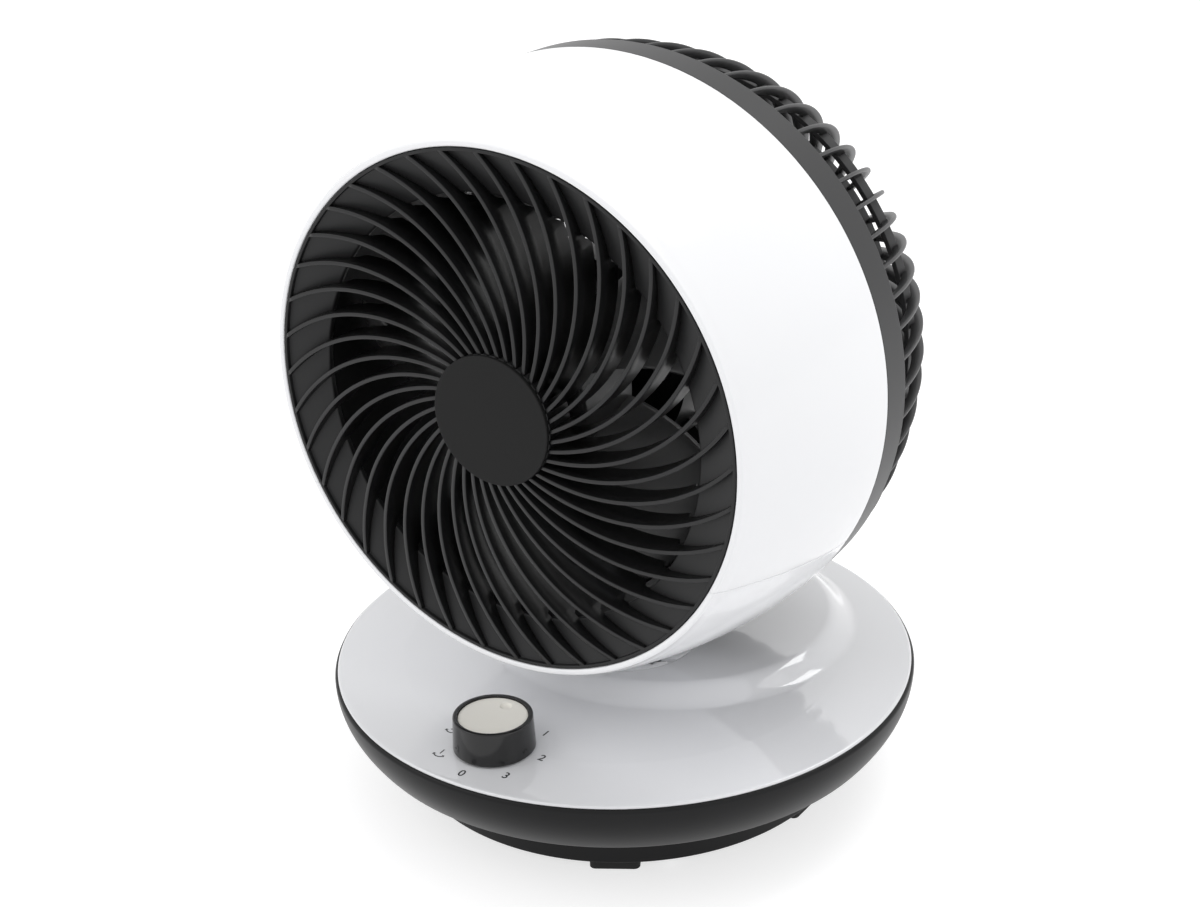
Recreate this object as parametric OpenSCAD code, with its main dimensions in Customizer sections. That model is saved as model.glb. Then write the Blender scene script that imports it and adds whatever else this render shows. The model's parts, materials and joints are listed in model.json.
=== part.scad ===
// Table air circulator: a drum head with swirl grilles on a round base.
// Millimetres. Z is up, the front faces -Y, and the origin is on the table
// under the middle of the base.

/* [Base] */
// Diameter of the white cover at its rim
base_d = 240; // [225:1:262]
// Height of the cover's rim above the table
rim_h = 49; // [48:0.5:58]
// Height of the bowl's curved wall
bowl_h = 23; // [20:0.5:25]
// How far the bowl's wall draws in towards its foot
bowl_tuck = 8.6; // [5:0.1:11]
// How far the bowl stands out past the cover
bowl_lip = 1.2; // [0.6:0.1:2.4]
// Diameter of the plinth under the bowl
plinth_d = 186; // [182:1:192]
// Wall of the base mouldings
base_wall = 2.5; // [2:0.1:3]
// How far the cover rises from its rim to the turntable
cover_rise = 8.6; // [6:0.1:9]
// Radius inside which the cover swells up
shoulder_r = 92; // [80:1:96]
// Height of that shoulder above the rim
shoulder_h = 2.3; // [1.5:0.1:3]
// Thickness of the bottom plate
plate_t = 2.5; // [2:0.1:3.5]
// Feet round the plinth
foot_count = 6; // [3:1:8]
// How far a foot stands below the plinth
foot_drop = 5; // [3:0.5:6]
// Length of a foot along the rim
foot_l = 20; // [14:1:24]
// Width of a foot
foot_w = 11; // [8:0.5:12]
// Inner radius of the ballast ring
ballast_in_r = 64; // [63:0.5:70]
// Outer radius of the ballast ring
ballast_out_r = 80; // [76:0.5:81]
// Height of the ballast ring
ballast_h = 9.5; // [6:0.5:14]

/* [Knob] */
// Distance of the knob from the middle of the base
knob_y = 92; // [88:0.5:95]
// Radius of the knob at its foot
knob_r = 16.3; // [15:0.1:18]
// Height of the knob
knob_h = 13.8; // [12:0.1:16]
// How much the knob narrows towards its top
knob_draft = 0.6; // [0:0.1:1.5]
// Radius of the pale disc in the knob's top
knob_cap_r = 13.8; // [12:0.1:14]
// Depth of that disc below the knob's rim
knob_cap_drop = 0.8; // [0.4:0.1:1.5]
// Radius of the switch shaft
switch_shaft_r = 3; // [2.5:0.1:3.5]
// Width of the rotary switch
switch_w = 27; // [22:0.5:28]
// Height of the rotary switch
switch_h = 17; // [12:0.5:18]

/* [Turntable] */
// Radius of the turntable
turn_r = 40; // [36:0.5:44]
// Radius of the turntable's hollow post
post_r = 20; // [18:0.5:21]
// Radius of the way for the leads inside that post
lead_way_r = 13; // [8:0.5:14]
// Wall of the bush round the post
bush_wall = 3; // [2:0.1:3.5]
// Teeth of the swivel gear
gear_teeth = 60; // [56:1:64]
// Teeth of the pinion
pinion_teeth = 15; // [13:1:18]
// Tooth module
tooth_m = 1; // [0.9:0.05:1.1]
// Thickness of both gears
gear_t = 6; // [4:0.5:6]
// Swing of the turntable to each side, in degrees
swing = 40; // [30:1:45]

/* [Tilt hinge] */
// Distance of the tilt axis in front of the middle of the base
hinge_y = 12; // [10:0.5:14]
// Height of the tilt axis above the cover's rim
hinge_h = 9.5; // [9:0.1:10.5]
// Radius of the tilt pin
hinge_pin_r = 3; // [2.5:0.1:3.5]
// Radius of the hinge eyes
hinge_eye_r = 7; // [6:0.1:7.2]
// Width of the eye under the head
hinge_eye_w = 30; // [24:0.5:32]
// Thickness of each ear on the turntable
hinge_ear_t = 6; // [4:0.5:8]
// Thickness of the friction washers
hinge_washer_t = 1.3; // [0.8:0.1:1.6]

/* [Head] */
// Gap between the turntable and the shell above it
head_gap = 8.8; // [8:0.1:14]
// Outer radius of the shell at its seam
shell_r = 119.7; // [119:0.1:121]
// Distance of the seam behind the middle of the base
seam_y = 2.1; // [1.5:0.1:5]
// Length of the shell from its seam to its front
shell_l = 81.1; // [78:0.1:86]
// How much the shell narrows towards its front
shell_taper = 14.1; // [12:0.1:16]
// Wall of the shell
shell_wall = 2.5; // [2:0.1:3]
// Width of the shell's front edge round the grille
shell_edge_w = 2.7; // [2.6:0.1:5]
// Drop of the shell's parting line below the head's axis
parting_drop = 60.5; // [50:0.5:70]
// Slope of that line, in degrees
parting_slope = 8.7; // [4:0.1:12]
// Width of the groove along it
parting_gap = 0.3; // [0.2:0.05:0.5]

/* [Front grille] */
// Width of its ring
grille_ring_w = 1.3; // [1:0.1:2.4]
// Depth of its ring
grille_ring_d = 4; // [3:0.1:5]
// Depth of the step inside the ring, down to the funnel
ring_step = 1.8; // [1:0.1:2.5]
// Swirl ribs in the front grille
front_ribs = 40; // [28:1:44]
// Thickness of a swirl rib
front_rib_t = 1.6; // [1.4:0.1:2.2]
// Radius of a swirl rib's arc
front_arc_r = 77.3; // [76:0.1:84]
// Distance of that arc's centre from the head's axis
front_arc_off = 70.7; // [68:0.1:72]
// Depth of a swirl rib near the hub
front_rib_d = 11; // [8:0.5:14]
// How far the ribs bulge forwards at the hub
front_bulge = 2.4; // [1:0.1:3.5]
// Depth of the funnel from that step to the throat
funnel_d = 4.2; // [2.5:0.1:6]
// Width of the funnel between its ring and the throat
funnel_w = 16.9; // [15:0.1:20]
// Distance of the locking screw inside the grille's ring
front_screw_in = 5.8; // [4.5:0.1:7]
// Radius of the hub disc
hub_r = 25.7; // [22:0.1:30]
// Thickness of the hub disc
hub_cap_t = 1.7; // [1.2:0.1:2.5]

/* [Rear grille] */
// Length of the plain band behind the seam
band_l = 15.9; // [12:0.1:19]
// Wall of the band
band_wall = 2.6; // [2.4:0.1:3.2]
// How far the dome starts inside the seam's radius
dome_step = 0.3; // [0:0.05:0.8]
// Distance of the dome's centre behind the middle of the base
dome_y = 4.5; // [4:0.1:7]
// Ribs in the rear grille
rear_ribs = 62; // [40:2:64]
// Thickness of a rear rib
rear_rib_t = 1.5; // [1.2:0.1:2]
// Depth of a rear rib at the dome's edge
rear_rib_d = 0.93; // [0.8:0.01:1.4]
// How much deeper a rear rib gets towards the middle
rear_rib_grow = 9.5; // [7:0.1:12]
// Radius of the rear disc
rear_cap_r = 50; // [44:0.5:56]
// Thickness of the rear disc
rear_cap_t = 4; // [3:0.1:5]
// Length of each hoop
hoop_l = 5.7; // [4:0.1:8]
// Thickness of each hoop
hoop_t = 2; // [1.5:0.1:3]

/* [Air duct and impeller] */
// Wall of the duct
duct_wall = 2; // [1.6:0.1:2.5]
// How much wider than the throat the bell mouth at the back opens
bell_flare = 7.1; // [5:0.1:9]
// Clearance between the impeller and the throat
tip_gap = 2; // [1.5:0.1:3]
// Impeller blades
blades = 5; // [3:1:7]
// Radius of the impeller's hub
rotor_hub_r = 27.5; // [24:0.1:32]
// Length of the impeller's hub
rotor_hub_l = 32; // [28:0.5:34]
// Angle that a blade covers, in degrees
blade_span = 36; // [36:1:66]
// Twist of a blade's front edge from root to tip, in degrees
blade_sweep = 14; // [0:1:40]
// Axial height of a blade at its root
blade_root_h = 28.6; // [20:0.2:29]
// Axial height of a blade at its tip
blade_tip_h = 27; // [14:0.5:29]
// Where the first blade stands, in degrees from the right
blade_phase = 42; // [0:1:71]
// Thickness of a blade
blade_t = 2; // [1.5:0.1:3]

/* [Motor] */
// Radius of the motor's end shells
motor_r = 37; // [34:0.5:40]
// Length of each end shell
motor_shell_l = 20; // [17:0.5:22]
// Length of the lamination stack between the shells
stack_l = 16; // [12:0.5:22]
// Radius of the bore in the laminations
stack_bore_r = 22; // [20:0.5:24]
// Radius of the motor shaft
shaft_r = 3; // [2.5:0.1:4]
// Outer radius of the bearings
bearing_r = 8; // [7:0.1:9.5]
// Width of the bearings
bearing_w = 5; // [4:0.1:6]
// Width of the motor mount's arms
arm_w = 9; // [6:0.5:12]
// Depth of the motor mount's arms
arm_d = 6; // [4:0.5:8]

/* [Hidden] */

$fn = 96;
eps = 0.01;
seat_gap = 0.15;      // between pieces that are screwed together
slip_gap = 0.3;       // between pieces that pass each other
run_gap = 0.04;       // radial, in a running bore
screw_r = 1.5;
screw_hole_r = 1.75;
screw_head_r = 3.2;
screw_head_h = 2;
snug = 0.02;          // under a screw's head

// Base, from the driving sizes
rim_r = base_d / 2;
bowl_r = rim_r + bowl_lip;
bowl_z = rim_h - bowl_h;
bowl_steps = 10;
bowl_chamfer = 1.3;
bowl_floor_z = rim_h - seat_gap - bowl_h + 1 + base_wall;
plinth_r = plinth_d / 2;
plinth_draft = 1.5;
cover_lip = 1.1;
cover_edge = 1.4;
cover_steps = 18;
cover_hole_r = turn_r + 0.6;
cover_top_z = rim_h + cover_rise;
cover_spigot_h = 6;
plate_z = foot_drop + 1;
plate_top_z = plate_z + plate_t;
plate_r = plinth_r - plinth_draft - base_wall - slip_gap;
foot_corner_r = 2.5;
foot_ring_r = sqrt(plate_r * plate_r - pow(foot_l / 2 - foot_corner_r, 2)) - foot_w / 2;
boss_r = 4.5;
plinth_boss_ring = plinth_r - plinth_draft - base_wall - slip_gap - screw_head_r;
cover_boss_ring = (plinth_r + bowl_r - bowl_tuck) / 2;
gland_z = 16;
gland_r = 5;
gland_bore_r = 3.4;

// Turntable, chassis and gears
chassis_t = 3;
chassis_z = rim_h - 13;
chassis_r = 71;
chassis_boss_ring = 62;
bush_flange_t = 1.5;
bush_top_z = rim_h - 0.3;
bush_flange_r = 29;
tower_r = 28;
tower_top_z = bush_top_z - bush_flange_t;
turn_low_z = rim_h;
turn_core_r = 32;
turn_skirt_z = rim_h + 2.3;
ledge_z = turn_skirt_z - 0.8;
ledge_in_r = turn_core_r + 1;
gear_z = chassis_z - 0.5 - gear_t;
post_low_z = gear_z + gear_t + seat_gap;
gear_pitch_r = gear_teeth * tooth_m / 2;
pinion_pitch_r = pinion_teeth * tooth_m / 2;
gear_distance = gear_pitch_r + pinion_pitch_r + 0.15;
swing_motor_r = 24;
swing_motor_h = 16;
swing_motor_z = gear_z - 2.5 - swing_motor_h;
swing_motor_lug = 29;
stop_r = 26;
stop_pin_r = 2.5;
stop_margin = 2;
capacitor_l = 34;
capacitor_w = 15;
capacitor_h = 20;
capacitor_ring = 43.27;
capacitor_at = 33.7;

// Knob and switch
function smooth(u) = let (v = min(1, max(0, u))) v * v * (3 - 2 * v);
function cover_z(r) = r >= shoulder_r
    ? rim_h + cover_lip + (shoulder_h - cover_lip) * (rim_r - cover_edge - r)
        / (rim_r - cover_edge - shoulder_r)
    : rim_h + shoulder_h + (cover_rise - shoulder_h)
        * smooth((shoulder_r - r) / (shoulder_r - turn_r - 4));
knob_low_z = cover_z(knob_y - knob_r) + slip_gap;
knob_top_z = rim_h + shoulder_h + slip_gap + knob_h;
knob_floor_z = knob_top_z - knob_cap_drop - 2;
knob_wall = 1.9;
switch_top_z = cover_z(knob_y + switch_w / 2) - base_wall - seat_gap;
switch_bush_r = 4.5;
switch_bush_z = switch_top_z + 5;
nut_r = 6.5;
nut_h = 2;

// Head
axis_z = cover_top_z + head_gap + shell_r;
front_f = shell_l - seam_y;      // forward distances run from the base's axis to the front
seam_f = -seam_y;
band_f = seam_f - band_l;
shell_steps = 14;
lip_d = grille_ring_d;
lip_r = shell_r - shell_taper - shell_edge_w;
lip_edge = 1.2;
bulkhead_t = 2;
hinge_z = rim_h + hinge_h;
ear_x = hinge_eye_w / 2 + hinge_washer_t + 0.2;

// The shell's outer radius at a forward distance
function shell_at(f) = shell_r - shell_taper * pow((f - seam_f) / shell_l, 2);

// Front grille
grille_r = lip_r - slip_gap;
ring_in_r = grille_r - grille_ring_w;
throat_r = ring_in_r - funnel_w;
front_screw_drop = ring_in_r - front_screw_in;
ring_back_f = front_f - grille_ring_d;
rib_flat_r = throat_r + 0.5;
rib_back_f = front_f - front_rib_d;
front_phase = 6.28;
funnel_f = front_f - ring_step;
throat_front_f = funnel_f - funnel_d;
funnel_t = 2;
small_head_r = 2.5;
small_head_h = 1.8;
front_seat_f = throat_front_f + 0.2;
hook_r = grille_r - 4.6;
hook_t = 2;

// Duct
bell_r = throat_r + bell_flare;
throat_back_f = 12;
duct_front_f = throat_front_f - funnel_t - seat_gap;
duct_flange_t = 2;
duct_flange_r = shell_at(duct_front_f) - shell_wall - slip_gap;
hook_f = duct_front_f - duct_flange_t - 0.2 - hook_t;
bulkhead_r = shell_at(seam_f) - shell_wall - slip_gap;
bulkhead_f = seam_f + seat_gap;
duct_boss_ring = bell_r + 5.5;
lug_ring = bulkhead_r - 5;
lug_r = 5.8;
lug_t = 6;
lug_f = bulkhead_f - bulkhead_t - seat_gap - lug_t;
shell_boss_ring = bulkhead_r - 3.7;

// Rear grille: the ribs are cut from two circles in planes through the head's axis
dome_f = -dome_y;
dome_r = shell_r - dome_step;
rib_in_r = dome_r - rear_rib_d;
rib_in_f = dome_f + rear_rib_grow;
function dome_back(r) = dome_f - sqrt(dome_r * dome_r - r * r);
function rib_inner_at(f) = sqrt(rib_in_r * rib_in_r - pow(f - rib_in_f, 2));
rear_cap_f = dome_back(rear_cap_r);
hoop_fs = [dome_f - 48.5, dome_f - 82];
hoop_bite = 0.8;
rib_root = 2.8;

// Impeller and motor
tip_r = throat_r - tip_gap;
rotor_back_f = 29;
rotor_front_f = rotor_back_f + rotor_hub_l;
blade_rows = 9;
blade_cols = 8;
blade_root_r = rotor_hub_r - 1.2;
motor_front_f = 8;
stack_front_f = motor_front_f - motor_shell_l;
stack_back_f = stack_front_f - stack_l;
motor_back_f = stack_back_f - motor_shell_l;
motor_wall = 2.5;
mount_plate_t = 3;
mount_plate_f = motor_front_f + seat_gap;
arm_front_f = bulkhead_f - bulkhead_t - seat_gap;
mount_wall = 3.2;
motor_bolt_ring = 30;
nose_l = 3.6;

// Head frame: local Z points to the front, local X stays, local Y points up
module head_frame() {
    translate([0, 0, axis_z]) rotate([90, 0, 0]) children();
}

// Turns a profile of (radius, forward distance) about the head's axis
module head_spin(points) {
    head_frame() rotate_extrude() polygon(points);
}

module ring(outer, inner, h) {
    difference() {
        cylinder(r = outer, h = h);
        translate([0, 0, -1]) cylinder(r = inner, h = h + 2);
    }
}

module round_array(count, radius, start = 0) {
    for (i = [0 : count - 1])
        rotate(start + i * 360 / count) translate([radius, 0, 0]) children();
}

// A screw with its head's flat side at z = 0 and its shank pointing up
module screw(len) {
    translate([0, 0, -screw_head_h]) cylinder(r = screw_head_r, h = screw_head_h);
    translate([0, 0, -eps]) cylinder(r = screw_r, h = len + eps);
}

module rounded_box(l, w, h, r) {
    linear_extrude(h) {
        square([l - 2 * r, w], center = true);
        square([l, w - 2 * r], center = true);
        for (x = [-1, 1], y = [-1, 1])
            translate([x * (l / 2 - r), y * (w / 2 - r)]) circle(r = r);
    }
}

// Straight-flanked teeth on a pitch circle
module gear_outline(teeth, backlash) {
    pitch_r = teeth * tooth_m / 2;
    root_r = pitch_r - 1.15 * tooth_m;
    tip = pitch_r + 0.85 * tooth_m;
    step = 360 / teeth;
    root_a = step * 0.36;
    tip_a = step * 0.13;
    slack = backlash / pitch_r * 90 / PI;
    polygon([for (i = [0 : teeth - 1]) for (p = [[root_r, -root_a + slack], [tip, -tip_a + slack],
        [tip, tip_a - slack], [root_r, root_a - slack]])
        p[0] * [cos(i * step + p[1]), sin(i * step + p[1])]]);
}

module base_bowl() {
    drop_h = bowl_h - bowl_chamfer - 1;
    wall_out = [for (i = [0 : bowl_steps]) let (u = i / bowl_steps)
        [bowl_r - bowl_tuck * u * u, rim_h - seat_gap - bowl_chamfer - drop_h * u]];
    wall_in = [for (i = [bowl_steps : -1 : 0]) let (u = i / bowl_steps)
        [bowl_r - base_wall - bowl_tuck * u * u,
            rim_h - seat_gap - bowl_chamfer - (drop_h - base_wall) * u]];
    color([0.13, 0.13, 0.135]) difference() {
        union() {
            rotate_extrude() polygon(concat(
                [[bowl_r - 0.6, rim_h - seat_gap]],
                wall_out,
                [[bowl_r - bowl_tuck - 1.4, bowl_z], [plinth_r, bowl_z],
                    [plinth_r - plinth_draft, foot_drop],
                    [plinth_r - plinth_draft - base_wall, foot_drop],
                    [plinth_r - base_wall, bowl_z + base_wall]],
                wall_in,
                [[bowl_r - base_wall, rim_h - seat_gap]]));
            round_array(4, plinth_boss_ring, 45) translate([0, 0, plate_top_z + seat_gap]) {
                cylinder(r = boss_r, h = bowl_z - plate_top_z);
                translate([0, -2, 0])
                    cube([plinth_r - plinth_draft - 0.5 - plinth_boss_ring, 4, bowl_z - plate_top_z]);
            }
        }
        round_array(4, plinth_boss_ring, 45) translate([0, 0, plate_top_z - 1])
            cylinder(r = screw_r + run_gap, h = 13);
        round_array(6, cover_boss_ring) translate([0, 0, bowl_z - 1])
            cylinder(r = screw_hole_r, h = base_wall + 2);
        translate([0, plinth_r, gland_z]) rotate([90, 0, 0])
            cylinder(r = gland_r + seat_gap, h = 20, center = true);
    }
}

module base_cover() {
    top = [for (i = [0 : cover_steps]) let (r = cover_hole_r
        + (rim_r - cover_edge - cover_hole_r) * i / cover_steps) [r, cover_z(r)]];
    under = [for (i = [cover_steps : -1 : 0]) let (r = cover_hole_r + base_wall
        + (rim_r - cover_edge - base_wall - cover_hole_r - 3) * i / cover_steps)
        [r, cover_z(r) - base_wall]];
    spigot_r = bowl_r - base_wall - slip_gap;
    spigot_low_r = spigot_r - bowl_tuck * pow(cover_spigot_h / (bowl_h - bowl_chamfer - 1 - base_wall), 2);
    color([0.9, 0.91, 0.93]) difference() {
        union() {
            rotate_extrude() polygon(concat(
                [[ledge_in_r, ledge_z], [cover_hole_r, ledge_z]],
                top,
                [[rim_r - 0.5, rim_h + 0.8], [rim_r, rim_h + 0.3], [rim_r, rim_h],
                    [spigot_r, rim_h - eps], [spigot_low_r, rim_h - cover_spigot_h],
                    [spigot_low_r - 1.6, rim_h - cover_spigot_h], [spigot_r - 1.6, rim_h - base_wall]],
                under,
                [[cover_hole_r + base_wall, ledge_z - 2], [ledge_in_r, ledge_z - 2]]));
            round_array(6, cover_boss_ring) translate([0, 0, bowl_floor_z + seat_gap])
                cylinder(r = boss_r, h = rim_h - 1 - bowl_floor_z);
            round_array(4, chassis_boss_ring, 45)
                translate([0, 0, chassis_z + chassis_t + seat_gap]) cylinder(r = boss_r,
                    h = cover_z(chassis_boss_ring) - chassis_z - chassis_t - 1.5);
        }
        round_array(6, cover_boss_ring) translate([0, 0, bowl_z])
            cylinder(r = screw_r + run_gap, h = 16);
        round_array(4, chassis_boss_ring, 45) translate([0, 0, chassis_z])
            cylinder(r = screw_r + run_gap, h = 13);
        translate([0, -knob_y, rim_h - 10]) cylinder(r = switch_bush_r + seat_gap, h = 20);
    }
}

module bottom_plate() {
    color([0.12, 0.12, 0.12]) difference() {
        translate([0, 0, plate_z]) cylinder(r = plate_r, h = plate_t);
        round_array(foot_count, foot_ring_r) translate([0, 0, plate_z - 1])
            cylinder(r = 3 + run_gap, h = plate_t + 2);
        round_array(4, plinth_boss_ring, 45) translate([0, 0, plate_z - 1])
            cylinder(r = screw_hole_r, h = plate_t + 2);
        for (x = [-24 : 8 : 24])
            translate([x, 0, plate_z + plate_t / 2]) rounded_slot(34, 2.4, plate_t + 2);
    }
}

module rounded_slot(l, w, h) {
    linear_extrude(h, center = true) {
        square([w, l - w], center = true);
        for (y = [-1, 1]) translate([0, y * (l - w) / 2]) circle(r = w / 2);
    }
}

module feet() {
    color([0.1, 0.1, 0.1]) round_array(foot_count, foot_ring_r) {
        rotate(90) rounded_box(foot_l, foot_w, plate_z, foot_corner_r);
        translate([0, 0, plate_z - eps]) cylinder(r = 3, h = plate_t + eps);
    }
}

module ballast_ring() {
    color([0.35, 0.35, 0.36]) translate([0, 0, plate_top_z])
        ring(ballast_out_r, ballast_in_r, ballast_h);
}

module cord_gland() {
    color([0.09, 0.09, 0.09]) translate([0, plinth_r, gland_z]) rotate([90, 0, 0]) difference() {
        union() {
            translate([0, 0, -1.6]) cylinder(r = gland_r + 2, h = 1.5);
            translate([0, 0, -1]) cylinder(r = gland_r, h = 9);
            translate([0, 0, base_wall + 2]) cylinder(r = gland_r + 1.5, h = 2);
        }
        translate([0, 0, -3]) cylinder(r = gland_bore_r, h = 14);
    }
}

module cover_screws() {
    color([0.7, 0.7, 0.72]) round_array(6, cover_boss_ring)
        translate([0, 0, bowl_z]) screw(14);
}

module plate_screws() {
    color([0.7, 0.7, 0.72]) round_array(4, plinth_boss_ring, 45)
        translate([0, 0, plate_z]) screw(plate_t + 9);
}

module chassis() {
    color([0.62, 0.63, 0.65]) translate([0, 0, chassis_z]) difference() {
        union() {
            cylinder(r = chassis_r, h = chassis_t);
            cylinder(r = tower_r, h = tower_top_z - chassis_z);
            for (x = [-1, 1])
                translate([x * swing_motor_lug, gear_distance, -(chassis_z - swing_motor_z - swing_motor_h)])
                    cylinder(r = 3.5, h = chassis_z - swing_motor_z - swing_motor_h + eps);
        }
        translate([0, 0, -1])
            cylinder(r = post_r + bush_wall + seat_gap, h = tower_top_z - chassis_z + 2);
        round_array(4, chassis_boss_ring, 45) translate([0, 0, -1])
            cylinder(r = screw_hole_r, h = chassis_t + 2);
        for (x = [-1, 1]) translate([x * swing_motor_lug, gear_distance, -20])
            cylinder(r = screw_r + run_gap, h = 22);
        translate([0, 0, -eps]) stop_window(1.4);
    }
}

// Arc in which the stop pin travels: it ends just past each end of the swing
module stop_window(depth) {
    reach = swing + stop_margin;
    rotate(-90 - reach) rotate_extrude(angle = 2 * reach)
        translate([stop_r - stop_pin_r - slip_gap, 0]) square([2 * (stop_pin_r + slip_gap), depth]);
    for (a = [-reach, reach])
        rotate(a - 90) translate([stop_r, 0, 0]) cylinder(r = stop_pin_r + slip_gap, h = depth);
}

module chassis_screws() {
    color([0.7, 0.7, 0.72]) round_array(4, chassis_boss_ring, 45)
        translate([0, 0, chassis_z]) screw(13);
}

module swivel_bush() {
    color([0.93, 0.92, 0.86]) difference() {
        union() {
            translate([0, 0, chassis_z]) cylinder(r = post_r + bush_wall, h = bush_top_z - chassis_z);
            translate([0, 0, tower_top_z]) cylinder(r = bush_flange_r, h = bush_flange_t);
        }
        translate([0, 0, chassis_z - 1]) cylinder(r = post_r + run_gap, h = 30);
    }
}

module capacitor() {
    color([0.2, 0.2, 0.22]) rotate(capacitor_at) translate([-capacitor_ring, 0, plate_top_z])
        rotate(-capacitor_at - 56) rounded_box(capacitor_l, capacitor_w, capacitor_h, 2);
}

module rotary_switch() {
    color([0.2, 0.2, 0.2]) translate([0, -knob_y, 0]) difference() {
        union() {
            translate([0, 0, switch_top_z - switch_h])
                rounded_box(switch_w, switch_w, switch_h, 2);
            translate([0, 0, switch_top_z - eps])
                cylinder(r = switch_bush_r, h = switch_bush_z - switch_top_z);
            for (x = [-8 : 4 : 8])
                translate([x - 1, 7.6, switch_top_z - switch_h - 5]) cube([2, 0.8, 5.5]);
        }
        translate([0, 0, switch_top_z - 9]) cylinder(r = switch_shaft_r + run_gap, h = 30);
    }
}

module switch_nut() {
    low = cover_z(knob_y - nut_r);
    color([0.75, 0.75, 0.76]) translate([0, -knob_y, low]) difference() {
        cylinder(r = nut_r, h = nut_h, $fn = 6);
        translate([0, 0, -1]) cylinder(r = switch_bush_r + run_gap, h = nut_h + 2);
    }
}

module swing_motor() {
    color([0.72, 0.73, 0.75]) translate([0, gear_distance, swing_motor_z]) difference() {
        union() {
            cylinder(r = swing_motor_r, h = swing_motor_h - 1);
            translate([0, 0, swing_motor_h - 1 - eps]) hinge_flange();
            translate([0, 0, swing_motor_h - eps]) cylinder(r = 5, h = 1);
        }
        translate([0, 0, swing_motor_h - 9]) cylinder(r = 2.5 + run_gap, h = 20);
        for (x = [-1, 1]) translate([x * swing_motor_lug, 0, 0])
            cylinder(r = screw_hole_r, h = swing_motor_h + 2);
    }
}

// Top plate of the swing motor with its two lugs
module hinge_flange() {
    cylinder(r = swing_motor_r, h = 1);
    translate([-swing_motor_lug, -5, 0]) cube([2 * swing_motor_lug, 10, 1]);
    for (x = [-1, 1]) translate([x * swing_motor_lug, 0, 0]) cylinder(r = 5, h = 1);
}

module swing_motor_screws() {
    color([0.7, 0.7, 0.72]) for (x = [-1, 1])
        translate([x * swing_motor_lug, gear_distance, swing_motor_z + swing_motor_h - 1 - snug])
            screw(9);
}

module switch_shaft() {
    color([0.75, 0.75, 0.76]) translate([0, -knob_y, switch_top_z - 8])
        cylinder(r = switch_shaft_r, h = knob_floor_z - 1 - switch_top_z + 8);
}

module knob() {
    top_r = knob_r - knob_draft;
    boss_low_z = switch_bush_z + 0.8;
    color([0.1, 0.1, 0.1]) translate([0, -knob_y, 0]) difference() {
        union() {
            difference() {
                rotate_extrude() polygon([[0, knob_low_z], [knob_r - 0.3, knob_low_z],
                    [knob_r, knob_low_z + 0.4], [top_r, knob_top_z - 0.9],
                    [top_r - 0.25, knob_top_z - 0.3], [top_r - 0.8, knob_top_z], [0, knob_top_z]]);
                translate([0, 0, knob_floor_z])
                    cylinder(r = knob_cap_r + 0.1, h = 10);
                translate([0, 0, knob_low_z - 1])
                    cylinder(r = knob_r - knob_draft - knob_wall, h = knob_floor_z - knob_low_z - 0.8);
            }
            translate([0, 0, boss_low_z]) cylinder(r = 5.5, h = knob_floor_z - boss_low_z - 0.1);
        }
        translate([0, 0, boss_low_z - 1])
            cylinder(r = switch_shaft_r + run_gap, h = knob_floor_z - boss_low_z);
    }
}

module knob_cap() {
    top_z = knob_top_z - knob_cap_drop;
    dimple_r = 5;
    color([0.84, 0.83, 0.79]) translate([0, -knob_y, 0]) difference() {
        rotate_extrude() polygon([[0, knob_floor_z + 0.05], [knob_cap_r, knob_floor_z + 0.05],
            [knob_cap_r, top_z - 0.3], [knob_cap_r - 0.3, top_z], [0, top_z]]);
        translate([0, 0.64 * knob_cap_r, top_z + dimple_r - 0.45]) sphere(r = dimple_r);
    }
}

module pinion() {
    color([0.9, 0.89, 0.82]) translate([0, gear_distance, 0]) {
        translate([0, 0, gear_z]) rotate(-90) rotate(180 / pinion_teeth) linear_extrude(gear_t)
            gear_outline(pinion_teeth, 0.25);
        translate([0, 0, swing_motor_z + swing_motor_h - 8])
            cylinder(r = 2.5, h = gear_z - swing_motor_z - swing_motor_h + 8 + eps);
    }
}

module turntable() {
    top_z = cover_top_z;
    color([0.9, 0.91, 0.93]) difference() {
        union() {
            rotate_extrude() polygon([[lead_way_r, post_low_z], [post_r, post_low_z],
                [post_r, turn_low_z], [turn_core_r, turn_low_z],
                [turn_core_r, turn_skirt_z], [turn_r, turn_skirt_z],
                [turn_r, top_z - 0.9], [turn_r - 0.3, top_z - 0.3], [turn_r - 1, top_z],
                [0, top_z], [0, turn_low_z + 3], [lead_way_r, turn_low_z + 3]]);
            for (s = [-1, 1]) hinge_ear(s);
        }
        translate([0, -hinge_y, hinge_z]) rotate([0, 90, 0])
            cylinder(r = hinge_eye_r + 1.2, h = 2 * ear_x, center = true);
        translate([-ear_x, -hinge_y - hinge_eye_r - 1.2, hinge_z])
            cube([2 * ear_x, 2 * hinge_eye_r + 2.4, 30]);
        translate([0, -hinge_y, hinge_z]) rotate([0, 90, 0]) {
            cylinder(r = hinge_pin_r + run_gap, h = 2 * turn_r, center = true);
            for (s = [-1, 1]) translate([0, 0, s * (ear_x + hinge_ear_t + 1.5)])
                cylinder(r = hinge_pin_r + 2.2, h = 3, center = true);
        }
        translate([0, 0, turn_low_z - 1]) cylinder(r = 6, h = 20);
        gear_screw_places() translate([0, 0, post_low_z - 1]) cylinder(r = 1.2 + run_gap, h = 9);
    }
}

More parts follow.
